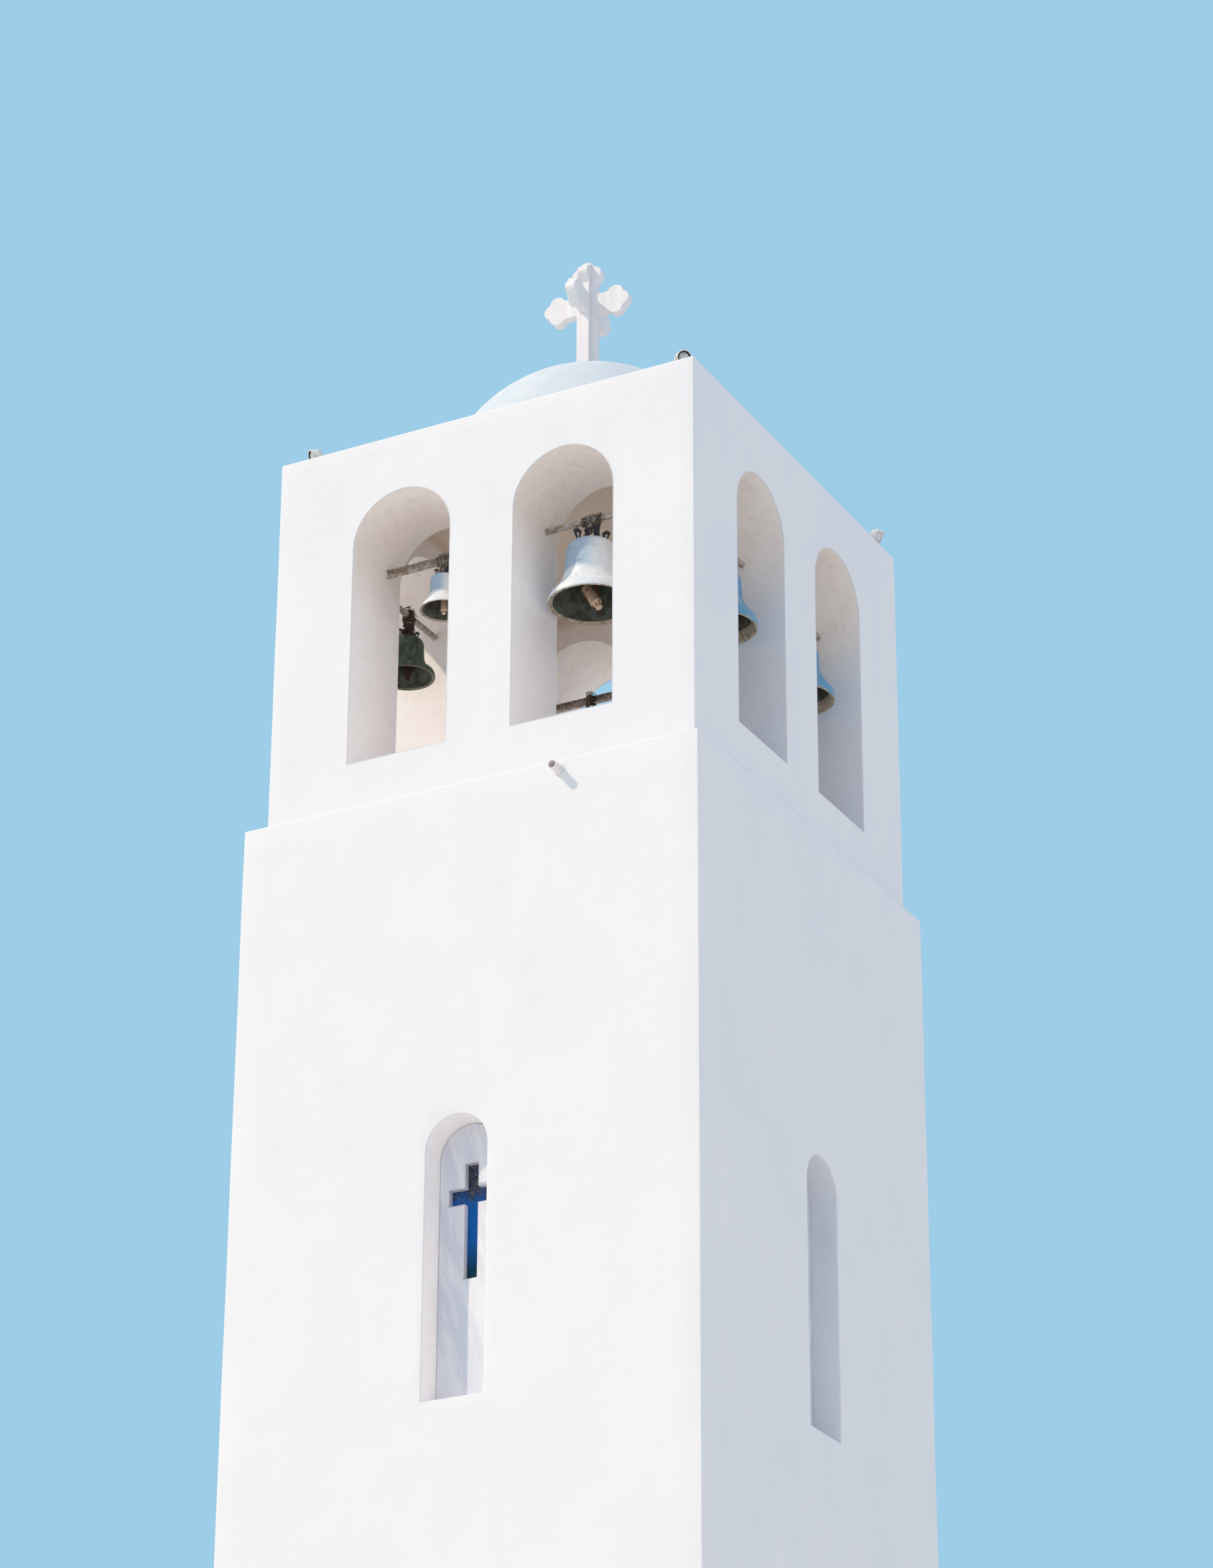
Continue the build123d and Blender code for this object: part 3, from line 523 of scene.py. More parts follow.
def bevel(bm, edges, radius, segments):
    """Rounds some edges of a bmesh."""
    bmesh.ops.bevel(
        bm, geom=edges, offset=radius, offset_type="OFFSET", affect="EDGES",
        segments=segments, profile=0.5, material=-1, clamp_overlap=True,
    )


def sharp_edges(bm, above=-100.0):
    """Edges that turn by more than the crisp angle and reach above a level."""
    return [
        edge for edge in bm.edges
        if len(edge.link_faces) == 2
        and edge.calc_face_angle(0) > CRISP_ANGLE
        and max(vert.co.z for vert in edge.verts) > above
    ]


def slice_faces(bm, step):
    """Cuts all faces along planes about a step apart."""
    for axis in range(3):
        places = [vert.co[axis] for vert in bm.verts]
        low = min(places)
        length = max(places) - low
        count = round(length / step)
        across = Vector([float(number == axis) for number in range(3)])
        for number in range(1, count):
            spot = across * (low + length * number / count)
            whole = bm.verts[:] + bm.edges[:] + bm.faces[:]
            bmesh.ops.bisect_plane(bm, geom=whole, dist=1e-5, plane_co=spot, plane_no=across)


def trowel(bm, low, high):
    """Sinks points into the wall by smooth noise, except at the levels where it meets other pieces."""
    bm.normal_update()
    moves = []
    for vert in bm.verts:
        if low + STILL_BELOW < vert.co.z < high - STILL_ABOVE:
            long_wave = 0.5 + 0.5 * noise.noise(vert.co * 1.1)
            short_wave = 0.5 + 0.5 * noise.noise(vert.co * 4.0 + Vector((7, 3, 5)))
            moves.append((vert, vert.normal * -(LONG_WAVE * long_wave + SHORT_WAVE * short_wave)))
    for vert, move in moves:
        vert.co += move


# %% [markdown]
# The shaft
#
# The shaft is a tube of masonry 0.8 m thick and nearly 16 m tall. It has one tall round-headed slot in
# each face, and its top is the ledge on which the belfry stands.

# %% Build the shaft
WINDOW_WIDTH = 0.48
OUTER_CORNER = 0.014
CUT_CORNER = 0.008
PANEL_FIT = 0.0003
SHAFT_STEP = 0.22
panel_low, panel_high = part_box("front_window_panel")

shaft = box_bar(SHAFT_LOW, SHAFT_HIGH)
bevel(shaft, sharp_edges(shaft, above=SHAFT_LOW.z + 1), OUTER_CORNER, 4)
cutters = [box_bar((ROOM_LOW.x, ROOM_LOW.y, SHAFT_LOW.z - 1), (ROOM_HIGH.x, ROOM_HIGH.y, LEDGE + 1))]
for side in SIDES:
    low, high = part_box(f"{side}_window_panel")
    middle = (low + high) / 2
    across_x = side in ("left", "right")
    reach = (-3, -1) if side in ("front", "left") else (1, 3)
    across = middle.y if across_x else middle.x
    crown = panel_high.z + PANEL_FIT
    cutters.append(arch_bar(WINDOW_WIDTH, panel_low.z, crown, *reach, across_x, across))
shaft = carve(shaft, cutters)
bevel(shaft, sharp_edges(shaft, above=SHAFT_LOW.z + 1), CUT_CORNER, 3)
slice_faces(shaft, SHAFT_STEP)
trowel(shaft, SHAFT_LOW.z, LEDGE)
make_piece("shaft_plaster", shaft, [shaft_wash], [f"shaft_{side}_wall" for side in SIDES])

# %% [markdown]
# The belfry
#
# The belfry is set back from the ledge by a hand's width. Its walls are thick, so its eight arches are
# deep, and its flat ceiling lies just above their heads. The roof slab is plastered together with the
# walls, so both are one skin here.

# %% Build the belfry
FRONT_ARCH_WIDTH = 0.822
SIDE_ARCH_WIDTH = 0.780
ARCH_SILL = LEDGE + 0.428
ARCH_CROWN = LEDGE + 2.615
ARCH_ASIDE = (0.656, 0.677)
BELFRY_STEP = 0.12
INTO_ROOM = 0.1

belfry = box_bar(BELFRY_LOW, BELFRY_HIGH)
bevel(belfry, sharp_edges(belfry, above=LEDGE + 1), OUTER_CORNER, 4)
cutters = [box_bar((ROOM_LOW.x, ROOM_LOW.y, LEDGE - 1), (ROOM_HIGH.x, ROOM_HIGH.y, CEILING))]
for sign in (-1, 1):
    for near in (True, False):
        for axis, width, middle in ((1, FRONT_ARCH_WIDTH, BELFRY_X), (0, SIDE_ARCH_WIDTH, BELFRY_Y)):
            reach = (BELFRY_LOW[axis] - 1, ROOM_LOW[axis] + INTO_ROOM)
            if not near:
                reach = (ROOM_HIGH[axis] - INTO_ROOM, BELFRY_HIGH[axis] + 1)
            across = middle + sign * ARCH_ASIDE[axis]
            cutters.append(arch_bar(width, ARCH_SILL, ARCH_CROWN, *reach, axis == 0, across))
belfry = carve(belfry, cutters)
bevel(belfry, sharp_edges(belfry, above=LEDGE + 0.01), CUT_CORNER, 3)
slice_faces(belfry, BELFRY_STEP)
trowel(belfry, LEDGE, ROOF)
make_piece("belfry_plaster", belfry, [belfry_wash],
           [f"belfry_{side}_wall" for side in SIDES] + ["roof_slab"])
for node in ("belfry_floor", "ground_floor"):
    refinish(node, belfry_wash)

# %% [markdown]
# A turned shape
#
# The dome, the bells and many small things are turned: one half outline is spun round an upright axis.
# The outline goes in as a few points, and the spin closes on itself, so no seam is left.

# %% Spin an outline
def turn(bm, outline, centre, steps, close=True):
    """Spins a half outline, as pairs of radius and height, round an upright axis through centre."""
    verts = [bm.verts.new((centre[0] + radius, centre[1], height)) for radius, height in outline]
    pairs = list(zip(verts, verts[1:] + verts[:1])) if close else list(zip(verts, verts[1:]))
    edges = [bm.edges.new(pair) for pair in pairs]
    bmesh.ops.spin(bm, geom=verts + edges, cent=(centre[0], centre[1], 0), axis=(0, 0, 1), angle=tau,
                   steps=steps, use_merge=True)
    merge(bm, 1e-5)
    face_out(bm)


def bow(start, through, end, count):
    """Points along a smooth bend from start to end that passes through a middle point."""
    pull = [2 * m - (s + e) / 2 for s, m, e in zip(start, through, end)]
    points = []
    for number in range(count + 1):
        t = number / count
        first, second, third = (1 - t) ** 2, 2 * t * (1 - t), t * t
        points.append(tuple(first * s + second * p + third * e for s, p, e in zip(start, pull, end)))
    return points


# %% [markdown]
# The dome
#
# The dome is a shell of smooth plaster with a very pale blue wash, a little less than half a sphere. Its
# outline is turned with its real thickness, so that it is closed below as well.

# %% Turn the dome
DOME_SEGMENTS = 40
DOME_WALL = 0.15
DOME_DROP = 0.065
DOME_STEPS = 96
FOOT_ANGLE = radians(3.04)
SEAT_ANGLE = radians(90 - 4.69)
INNER_FOOT_ANGLE = radians(3.47)
dome_low, dome_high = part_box("dome")
dome_radius = (dome_high.x - dome_low.x) / 2
sphere_radius = (dome_radius**2 + DOME_DROP**2) ** 0.5


def dome_wash():
    """Pale blue limewash with faint clouds and a soft, brushed surface."""
    finish = Finish("dome_wash", roughness=0.85)
    clouds = finish.clouds(0.5, 4.0)
    drips = finish.clouds(0.14, 3.0, stretch=(1, 1, 4))
    tone = finish.ramp(clouds * 0.6 + drips * 0.4, 0.35, 0.65)
    wash = finish.mix(tone, (216, 222, 226), (202, 213, 221))
    return finish.give(Base_Color=wash, Normal=finish.relief((0.35, 2.0, 0.012), (0.02, 3.0, 0.0012)))


def dome_outline():
    """Half outline of the shell: up the outside, over the cross's flat seat, and down the inside."""
    outer = []
    inner = []
    inside = sphere_radius - DOME_WALL
    for number in range(DOME_SEGMENTS + 1):
        share = number / DOME_SEGMENTS
        angle = FOOT_ANGLE + (SEAT_ANGLE - FOOT_ANGLE) * share
        outer.append((sphere_radius * cos(angle), ROOF - DOME_DROP + sphere_radius * sin(angle)))
        angle = INNER_FOOT_ANGLE + (pi / 2 - INNER_FOOT_ANGLE) * (1 - share)
        inner.append((inside * cos(angle), ROOF - DOME_DROP + inside * sin(angle)))
    inner[0] = (0, inner[0][1])
    return outer + [(0, outer[-1][1])] + inner


dome = bmesh.new()
turn(dome, dome_outline(), (BELFRY_X, BELFRY_Y), DOME_STEPS)
make_piece("dome_plaster_shell", dome, [dome_wash()], ["dome"])

# %% [markdown]
# Marble
#
# The window panels and the cross are a grey-veined white marble. Its veins run one way, so they come from
# noise that is stretched along a leaning axis. Two sizes are laid over each other, and the finer one is
# kept faint.

# %% Mix the marble
def marble(name, size, lean, pale, dark):
    """Honed marble with soft veins that lean one way."""
    finish = Finish(name, roughness=0.42)
    broad = finish.clouds(size, 3.0, 0.5, stretch=(1, 1, 6), twist=0.3, lean=lean)
    fine = finish.clouds(size / 3, 3.0, 0.5, stretch=(1, 1, 9), twist=0.2, lean=lean)
    tone = finish.mix(finish.ramp(broad, 0.35, 0.65), pale, dark)
    tone = finish.mix(finish.ramp(fine, 0.50, 0.75) * 0.35, tone, (248, 248, 249))
    shine = 0.36 + broad * 0.14
    return finish.give(Base_Color=tone, Roughness=shine, Normal=finish.relief((0.015, 3.0, 0.0003)))


VEIN_LEAN = radians(-16)
PANEL_PALE = (226, 226, 230)
PANEL_DARK = (209, 212, 221)
PANEL_VEINS = 0.12
front_marble = marble("front_marble", PANEL_VEINS, (0, VEIN_LEAN, 0), PANEL_PALE, PANEL_DARK)
side_marble = marble("side_marble", PANEL_VEINS, (VEIN_LEAN, 0, 0), PANEL_PALE, PANEL_DARK)
cross_marble = marble("cross_marble", 0.20, (0, 0, 0), (231, 228, 229), (224, 221, 220))
for side in SIDES:
    refinish(f"{side}_window_panel", side_marble if side in ("left", "right") else front_marble)

# %% [markdown]
# Blue glass
#
# Behind each cross is a pane of deep blue glass. No light comes from behind it, so it needs no
# transparency: a dark, glossy blue reads as glass in a dark hole. The blue is strongest in the middle of
# the stem. Above and below it the pane is much darker, with a little brown grime at the top.

# %% Glaze the windows
def glass(low, high):
    """Deep blue glass between two levels, with a slightly wavy surface."""
    finish = Finish("deep_blue_glass", roughness=0.22, Specular_IOR_Level=0.25)
    rise = (finish.axis(2) - low) / (high - low) + (finish.clouds(0.08, 3.0) - 0.5) * 0.30
    blue = finish.mix(finish.ramp(rise, 0.10, 0.36), (2, 52, 78), (0, 90, 166))
    blue = finish.mix(finish.ramp(rise, 0.62, 0.80), blue, (30, 44, 66))
    stipple = finish.ramp(finish.clouds(0.012, 4.0, 0.7), 0.50, 0.62)
    grime = finish.ramp(rise, 0.62, 0.84) * stipple
    tone = finish.mix(grime * 0.8, blue, (138, 118, 108))
    shine = 0.22 + grime * 0.5
    return finish.give(Base_Color=tone, Roughness=shine, Normal=finish.relief((0.06, 2.0, 0.0015)))


pane_low, pane_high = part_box("window_glass")
refinish("window_glass", glass(pane_low.z, pane_high.z))

# %% [markdown]
# The cross
#
# The cross is cut from two slabs that cross at right angles, with three lobes at each end. The solid
# already has that outline, crisp as a stone saw leaves it, so it stays and only gets its marble.

# %% Finish the cross
refinish("roof_cross", cross_marble)

# %% [markdown]
# Copies of solids
#
# A solid comes as loose triangles. Where a piece keeps its shape but needs softer edges or several
# finishes, a copy is merged first and its flat faces are joined.

# %% Copy a solid
MERGE_COPY = 2e-5
FLAT_ANGLE = radians(0.3)


def copied(node):
    """A node's mesh as a bmesh with its loose triangles merged and its flat faces joined."""
    bm = bmesh.new()
    bm.from_mesh(frame["nodes"][node].data)
    merge(bm, MERGE_COPY)
    bmesh.ops.dissolve_limit(bm, angle_limit=FLAT_ANGLE, verts=bm.verts[:], edges=bm.edges[:])
    bm.normal_update()
    return bm


# %% [markdown]
# Rust
#
# Iron that hangs in salt air rusts, but not evenly. Its finish mixes two browns by noise, keeps some of
# the bare or galvanised metal where a second noise is low, and lets roughness follow the rust.

# %% Mix the rusty metals
def rusty(name, metal, rust, deep_rust, amount, size, roughness, shine):
    """Metal with patches of rust: amount is the share that is rusty, and shine how metallic the rest is."""
    finish = Finish(name)
    patches = finish.clouds(size, 5.0, 0.62)
    mask = finish.ramp(patches, 0.62 - amount * 0.35, 0.72 - amount * 0.35)
    crust = finish.clouds(size / 5, 4.0)
    browns = finish.mix(finish.ramp(crust, 0.3, 0.7), rust, deep_rust)
    return finish.give(
        Base_Color=finish.mix(mask, metal, browns),
        Roughness=roughness + mask * (0.9 - roughness),
        Metallic=shine - mask * shine * 0.9,
        Normal=finish.bump(crust, 0.0012),
    )


beam_steel = rusty("beam_steel", (190, 183, 176), (168, 148, 130), (138, 114, 95), 0.48, 0.028, 0.6, 0.1)
chain_iron = rusty("chain_iron", (160, 150, 138), (92, 72, 56), (46, 38, 32), 0.45, 0.02, 0.5, 0.25)
worn_iron = rusty("worn_iron", (226, 202, 176), (192, 150, 116), (148, 102, 72), 0.36, 0.06, 0.42, 0.4)
red_rust = rusty("red_rust", (128, 84, 60), (122, 66, 46), (70, 36, 26), 0.8, 0.03, 0.8, 0.5)
dark_rust = rusty("dark_rust", (88, 64, 52), (82, 52, 40), (46, 32, 26), 0.8, 0.03, 0.8, 0.3)
groove_black = rusty("groove_black", (34, 30, 28), (52, 38, 30), (24, 20, 18), 0.5, 0.02, 0.8, 0.5)
old_wire = rusty("old_wire", (112, 88, 66), (96, 70, 50), (44, 32, 26), 0.6, 0.02, 0.8, 0.3)
bell_inside = rusty("bell_inside", (92, 100, 92), (74, 68, 60), (52, 50, 46), 0.5, 0.08, 0.8, 0.5)
for side in SIDES:
    refinish("bell_beams_" + side, beam_steel)
    refinish("bell_chains_" + side, chain_iron)

# %% [markdown]
# Bell paint and bronze
#
# Six bells are painted over the bronze: white at the front and the back, sky blue on the right. The white
# bells carry painted shade, a cool blue over the upper part on one side of the middle, and painted light, a
# warmer white on the other side and on the flare. The paint has chips down to dark metal, most of them round
# the lip and under the canons, and rusty water has run down from there. Brushes never reached under the lip,
# so its lower ring is bare and tan. The two bells on the left have no paint, and wear the dark green skin
# that bronze gets near the sea.

# %% Mix the bells' finishes
def bell_paint(name, place, shade_tone, lit_tone):
    """Paint with chips and rusty runs, in painted shade on the upper part on one side of the bell's middle
    and in painted light on the other side and on the flare.
    """
    centre, mouth, radius = place
    height = CROWN * radius
    finish = Finish(name)
    rise = (finish.axis(2) - mouth) / height
    chips = finish.clouds(0.030, 5.0, 0.65)
    edge = finish.ramp(rise, 0.0, 0.12, 0.08, 0.0) + finish.ramp(rise, 0.88, 1.0, 0.0, 0.10)
    chip = finish.ramp(chips + edge, 0.71, 0.73)
    runs = finish.clouds(0.035, 3.0, stretch=(1, 1, 9))
    run = finish.ramp(runs, 0.56, 0.78) * finish.ramp(rise, 0.35, 1.0) * 0.35
    waver = (finish.clouds(0.05, 2.0) - 0.5) * 0.06
    # Painted shade and light: the upper part left of the middle takes the shaded tone, the right side and
    # the flare below take the lit tone.
    half = finish.ramp((finish.axis(0) - centre[0]) / height + waver, 0.02, 0.32)
    lower = finish.ramp(rise + (finish.clouds(0.08, 2.0) - 0.5) * 0.10, 0.40, 0.52, 1.0, 0.0)
    grime = finish.ramp(finish.clouds(0.11, 4.0), 0.45, 0.8) * 0.5
    paint = finish.mix(finish.sums("MAXIMUM", half, lower), shade_tone, lit_tone)
    paint = finish.mix(grime, paint, (196, 196, 194))
    paint = finish.mix(run, paint, (150, 112, 84))
    paint = finish.mix(chip, paint, (66, 58, 52))
    normal = finish.relief((0.02, 3.0, 0.0010), under=finish.bump(1 - chip, 0.0006))
    return finish.give(Base_Color=paint, Roughness=0.48 + chip * 0.3, Normal=normal)


def bell_bronze():
    """Bronze with a dark green and brown skin."""
    finish = Finish("bell_bronze", roughness=0.62, metallic=0.15)
    skin = finish.ramp(finish.clouds(0.05, 5.0), 0.35, 0.65)
    runs = finish.ramp(finish.clouds(0.03, 3.0, stretch=(1, 1, 8)), 0.5, 0.7)
    tone = finish.mix(skin, (58, 68, 60), (82, 96, 84))
    tone = finish.mix(runs * 0.5, tone, (112, 136, 118))
    return finish.give(Base_Color=tone, Normal=finish.relief((0.015, 3.0, 0.0008)))


def two_tone(name, first, last, size, roughness, levels=(0.35, 0.65), detail=4.0, rough=0.55,
             grain=None, relief=0.0008, metallic=0.0):
    """Two close colours in clouds about size metres across, with a finer grain."""
    finish = Finish(name, roughness, metallic)
    mask = finish.ramp(finish.clouds(size, detail, rough), *levels)
    normal = finish.relief((grain or size / 6, 3.0, relief))
    return finish.give(Base_Color=finish.mix(mask, first, last), Normal=normal)


# The white paint in painted shade, blue as under the sky, and in painted light.
WHITE_IN_PAINTED_SHADE = (157, 182, 200)
WHITE_IN_PAINTED_LIGHT = (225, 230, 234)
SKY_BLUE = (98, 148, 180)
LIP_DIRT = {"levels": (0.42, 0.68), "detail": 5.0, "rough": 0.65, "grain": 0.01, "metallic": 0.1}
tan_lip = two_tone("tan_lip", (186, 172, 152), (120, 110, 98), 0.03, 0.75, **LIP_DIRT)
green_lip = two_tone("green_lip", (132, 128, 112), (86, 86, 76), 0.03, 0.75, **LIP_DIRT)
canon_black = two_tone("canon_black", (34, 36, 42), (90, 76, 66), 0.03, 0.6, (0.58, 0.72), grain=0.01,
                       relief=0.0006)
bronze = bell_bronze()

# %% [markdown]
# The bells
#
# A bell is turned too. Its lip is the thickest part, the bow above it is where the clapper strikes, and
# the waist rises nearly straight to a round shoulder. Four outlines do for all eight bells, and what
# differs is where the bow ends and how wide the flare, the waist and the shoulder's round are. The raised
# rings are part of the outline, and the canons and the staple are taken from the solid.

# %% Draw a bell's outline
CROWN = 1.58
SHELL = 0.05
LIP = 0.10
SHOULDER = (0.56, 1.56)
FLARE_LEVEL = 0.48
WAIST_LEVEL = 0.80
ROUND_PULL = 0.27
BELL_STEPS = 96
RING_HEIGHTS = (0.165, 0.21, 1.24, 1.33)
RING_RISE = 0.0035
SMALL = {"bow_top": (0.90, 0.24), "flare": 0.745, "waist": 0.60, "round": 0.12, "bare": 0.04}
LARGE = {"bow_top": (0.915, 0.235), "flare": 0.73, "waist": 0.635, "round": 0.20, "bare": 0.06}
TALL = {"bow_top": (0.94, 0.25), "flare": 0.70, "waist": 0.59, "round": 0.26, "bare": 0.06}
FLARED = {"bow_top": (0.94, 0.29), "flare": 0.80, "waist": 0.62, "round": 0.15, "bare": 0.17}
KINDS = {
    "front_left": SMALL, "front_right": LARGE, "left_front": TALL, "left_back": TALL,
    "right_front": FLARED, "right_back": FLARED, "back_left": LARGE, "back_right": LARGE,
}


def bell_place(name):
    """Middle of a bell, the level of its mouth and its mouth's radius, from its solid."""
    low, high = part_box("bell_" + name)
    return ((low.x + high.x) / 2, (low.y + high.y) / 2), low.z, (high.x - low.x) / 2


def rounded(corner, size, first, last, count):
    """Points of a bend of a size from first to last, which rounds a corner."""
    return bow(first, (corner[0] - size * ROUND_PULL, corner[1] - size * ROUND_PULL), last, count)


def bell_outside(kind):
    """Outside of a bell from the lip to the shoulder, in shares of its mouth's radius."""
    bow_out, bow_up = kind["bow_top"]
    middle = ((1 + bow_out) / 2 + 0.012, (0.06 + bow_up) / 2)
    points = [(0.885, 0.045), (0.972, 0.0), (0.992, 0.02)]
    points += bow((1.0, 0.06), middle, kind["bow_top"], 6)
    points += bow(kind["bow_top"], (kind["flare"], FLARE_LEVEL), (kind["waist"], WAIST_LEVEL), 12)[1:]
    turn_in = kind["round"]
    start = SHOULDER[1] - turn_in
    slope = (kind["waist"] - SHOULDER[0]) / (SHOULDER[1] - WAIST_LEVEL)
    rises = [rise for rise in (0.15, 0.30, 0.43) if WAIST_LEVEL + rise < start]
    points += [(kind["waist"] - slope * rise, WAIST_LEVEL + rise) for rise in rises]
    first, last = (SHOULDER[0] + slope * turn_in, start), (SHOULDER[0] - turn_in, SHOULDER[1] + 0.005)
    return points + rounded(SHOULDER, turn_in, first, last, 7)


def bell_outline(kind):
    """Half outline of a bell in shares of its mouth's radius: up the outside and down the inside."""
    bow_out, bow_up = kind["bow_top"]
    inner_round = kind["round"] - SHELL
    corner = (SHOULDER[0] - SHELL, SHOULDER[1] - SHELL)
    inside = [(0.0, CROWN - SHELL)]
    first, last = (corner[0] - inner_round, corner[1]), (corner[0], corner[1] - inner_round)
    inside += rounded(corner, inner_round, first, last, 5)
    waist = (kind["waist"] - SHELL, WAIST_LEVEL)
    inside += bow(waist, (kind["flare"] - SHELL * 1.3, FLARE_LEVEL), (bow_out - LIP, bow_up), 8)
    return with_rings(bell_outside(kind)) + [(0.0, CROWN)] + inside


def with_rings(outline):
    """Adds the raised rings to an outline that climbs."""
    result = []
    for (out, low), (out_next, high) in zip(outline, outline[1:]):
        result.append((out, low))
        for level in RING_HEIGHTS:
            if low < level <= high:
                edge = out + (out_next - out) * (level - low) / (high - low)
                slope = (out_next - out) / (high - low)
                for offset, rise in ((-0.016, 0), (-0.009, RING_RISE), (0.009, RING_RISE), (0.016, 0)):
                    result.append((edge + rise + offset * slope, level + offset))
    return result + [outline[-1]]


def outside_at(kind, level):
    """Radius of a bell's outside and how fast it grows, at a height share."""
    points = bell_outside(kind)
    for (out, low), (out_next, high) in zip(points, points[1:]):
        if low <= level <= high:
            slope = (out_next - out) / (high - low)
            return out + slope * (level - low), slope
    return SHOULDER[0], 0.0


# %% [markdown]
# Ornament on the bells
#
# A founder presses small patterns into the mould, and they stand out from the bell by a millimetre or two.
# These are plain ones: sprigs of leaves round the flare, and a round of beads about a flower on each side
# of the waist. Each leaf, bead and petal is one flattened ball that is half sunk in the bell.

# %% Press the ornament
def small_ball():
    """A ball of few faces, which every leaf, bead and petal is a squeezed copy of."""
    bm = bmesh.new()
    bmesh.ops.create_uvsphere(bm, u_segments=8, v_segments=6, radius=1.0)
    return as_mesh(bm)


def leaf(bm, place, kind, angle, level, aside, up, size, lean):
    """One flattened ball on a bell, aside and up from a point at an angle and a height share."""
    centre, mouth, radius = place
    share = level + up
    out, slope = outside_at(kind, share)
    around = angle + aside / out
    outward = Vector((cos(around), sin(around), 0))
    sideways = Vector((-sin(around), cos(around), 0))
    climb = (outward * slope + UP).normalized()
    basis = facing(sideways, climb, sideways.cross(climb))
    spot = Vector((centre[0], centre[1], mouth + share * radius)) + outward * out * radius
    sizes = Matrix.Diagonal((*(Vector(size) * radius), 1))
    squeezed = BALL.copy()
    squeezed.transform(Matrix.Translation(spot) @ basis @ Matrix.Rotation(lean, 4, "Z") @ sizes)
    join(bm, squeezed)


BALL = small_ball()
LEAVES = [(0, 0.045, 0), (-0.03, 0.02, 0.7), (0.03, 0.02, -0.7), (-0.04, -0.015, 1.2), (0.04, -0.015, -1.2)]
LEAF_SIZE = (0.012, 0.030, 0.010)
SPRIGS = 10
SPRIG_LEVEL = 0.40
ROUNDS = 4
ROUND_LEVEL = 0.86
BEADS = {"count": 14, "aside": 0.115, "up": 0.13, "size": (0.014, 0.014, 0.012), "turned": False}
PETALS = {"count": 6, "aside": 0.045, "up": 0.05, "size": (0.040, 0.018, 0.014), "turned": True}


def ornament(place, kind):
    """Sprigs round the flare, and four beaded rounds with a flower on the waist, as a mesh of their own."""
    bm = bmesh.new()
    for number in range(SPRIGS):
        for aside, up, lean in LEAVES:
            leaf(bm, place, kind, tau * number / SPRIGS + 0.3, SPRIG_LEVEL, aside, up, LEAF_SIZE, lean)
    for number in range(ROUNDS):
        angle = tau * number / ROUNDS - pi / 2
        for ring in (BEADS, PETALS):
            for step in range(ring["count"]):
                around = tau * step / ring["count"]
                aside, up = ring["aside"] * cos(around), ring["up"] * sin(around)
                lean = around if ring["turned"] else 0
                leaf(bm, place, kind, angle, ROUND_LEVEL, aside, up, ring["size"], lean)
    return as_mesh(bm)


# %% [markdown]
# Putting a bell together
#
# The turned shell, the ornament, and the canons and staple of the solid become one piece with four
# finishes: the skin, the canons' black, the dark inside and the bare ring under the lip.

# %% Cast the bells
ABOVE_HEAD = 0.004
STAPLE_REACH = 0.040


def fittings_of(node, head, centre, radius):
    """The canons above a bell's head and the staple below it, from the solid, as a mesh."""
    fittings = bmesh.new()
    fittings.from_mesh(frame["nodes"][node].data)
    away = []
    for face in fittings.faces:
        middle = face.calc_center_median()
        reach = ((middle.x - centre[0]) ** 2 + (middle.y - centre[1]) ** 2) ** 0.5
        staple = reach < STAPLE_REACH and head - 0.4 * radius < middle.z < head - SHELL * radius - 0.002
        if middle.z <= head + ABOVE_HEAD and not staple:
            away.append(face)
    bmesh.ops.delete(fittings, geom=away, context="FACES")
    merge(fittings, MERGE_COPY)
    return as_mesh(fittings)


def cast_bell(name, kind, skin, lip):
    """One bell as one piece."""
    node = "bell_" + name
    centre, mouth, radius = bell_place(name)
    bm = bmesh.new()
    outline = [(out * radius, mouth + level * radius) for out, level in bell_outline(kind)]
    turn(bm, outline, centre, BELL_STEPS)
    for face in bm.faces:
        middle = face.calc_center_median()
        outward = Vector((middle.x - centre[0], middle.y - centre[1], 0))
        under = face.normal.z < -0.5 and middle.z < mouth + 0.06 * radius
        inside = face.normal.dot(outward) < -0.15 * outward.length or face.normal.z < -0.5
        bare = inside and middle.z < mouth + kind["bare"] * radius
        face.material_index = 3 if under or bare else 2 if inside else 0
    join(bm, ornament((centre, mouth, radius), kind), 0)
    join(bm, fittings_of(node, mouth + CROWN * radius, centre, radius), 1)
    make_piece("cast_bell_" + name, bm, [skin, canon_black, bell_inside, lip], [node])


for name, kind in KINDS.items():
    if name.startswith("left"):
        skin = bronze
    elif name.startswith("right"):
        skin = bell_paint("blue_" + name, bell_place(name), SKY_BLUE, SKY_BLUE)
    else:
        skin = bell_paint("white_" + name, bell_place(name), WHITE_IN_PAINTED_SHADE, WHITE_IN_PAINTED_LIGHT)
    cast_bell(name, kind, skin, green_lip if skin is bronze else tan_lip)

# %% [markdown]
# The clappers
#
# A clapper is forged iron: an eye on the pin, a flat rod, and a striker whose barrel has been worn bright
# against the bell. The solid is copied, and each of its faces gets a finish by where it lies along the
# striker: the barrel and neck are bright, the groove is black, and the ball and the rod are red with rust.
# How far the clapper leans is read from the rod's own flat sides.

# %% Forge the clappers
ROD_END = 0.13
STAPLE_DROP = 0.026
STRIKER_LEAN = {"front_right": radians(22)}
STRIKER_FROM = 0.90
STRIKER_OUT = 0.15
GROOVE = (0.657, 0.687)
CLAPPER_EDGE = 0.0015


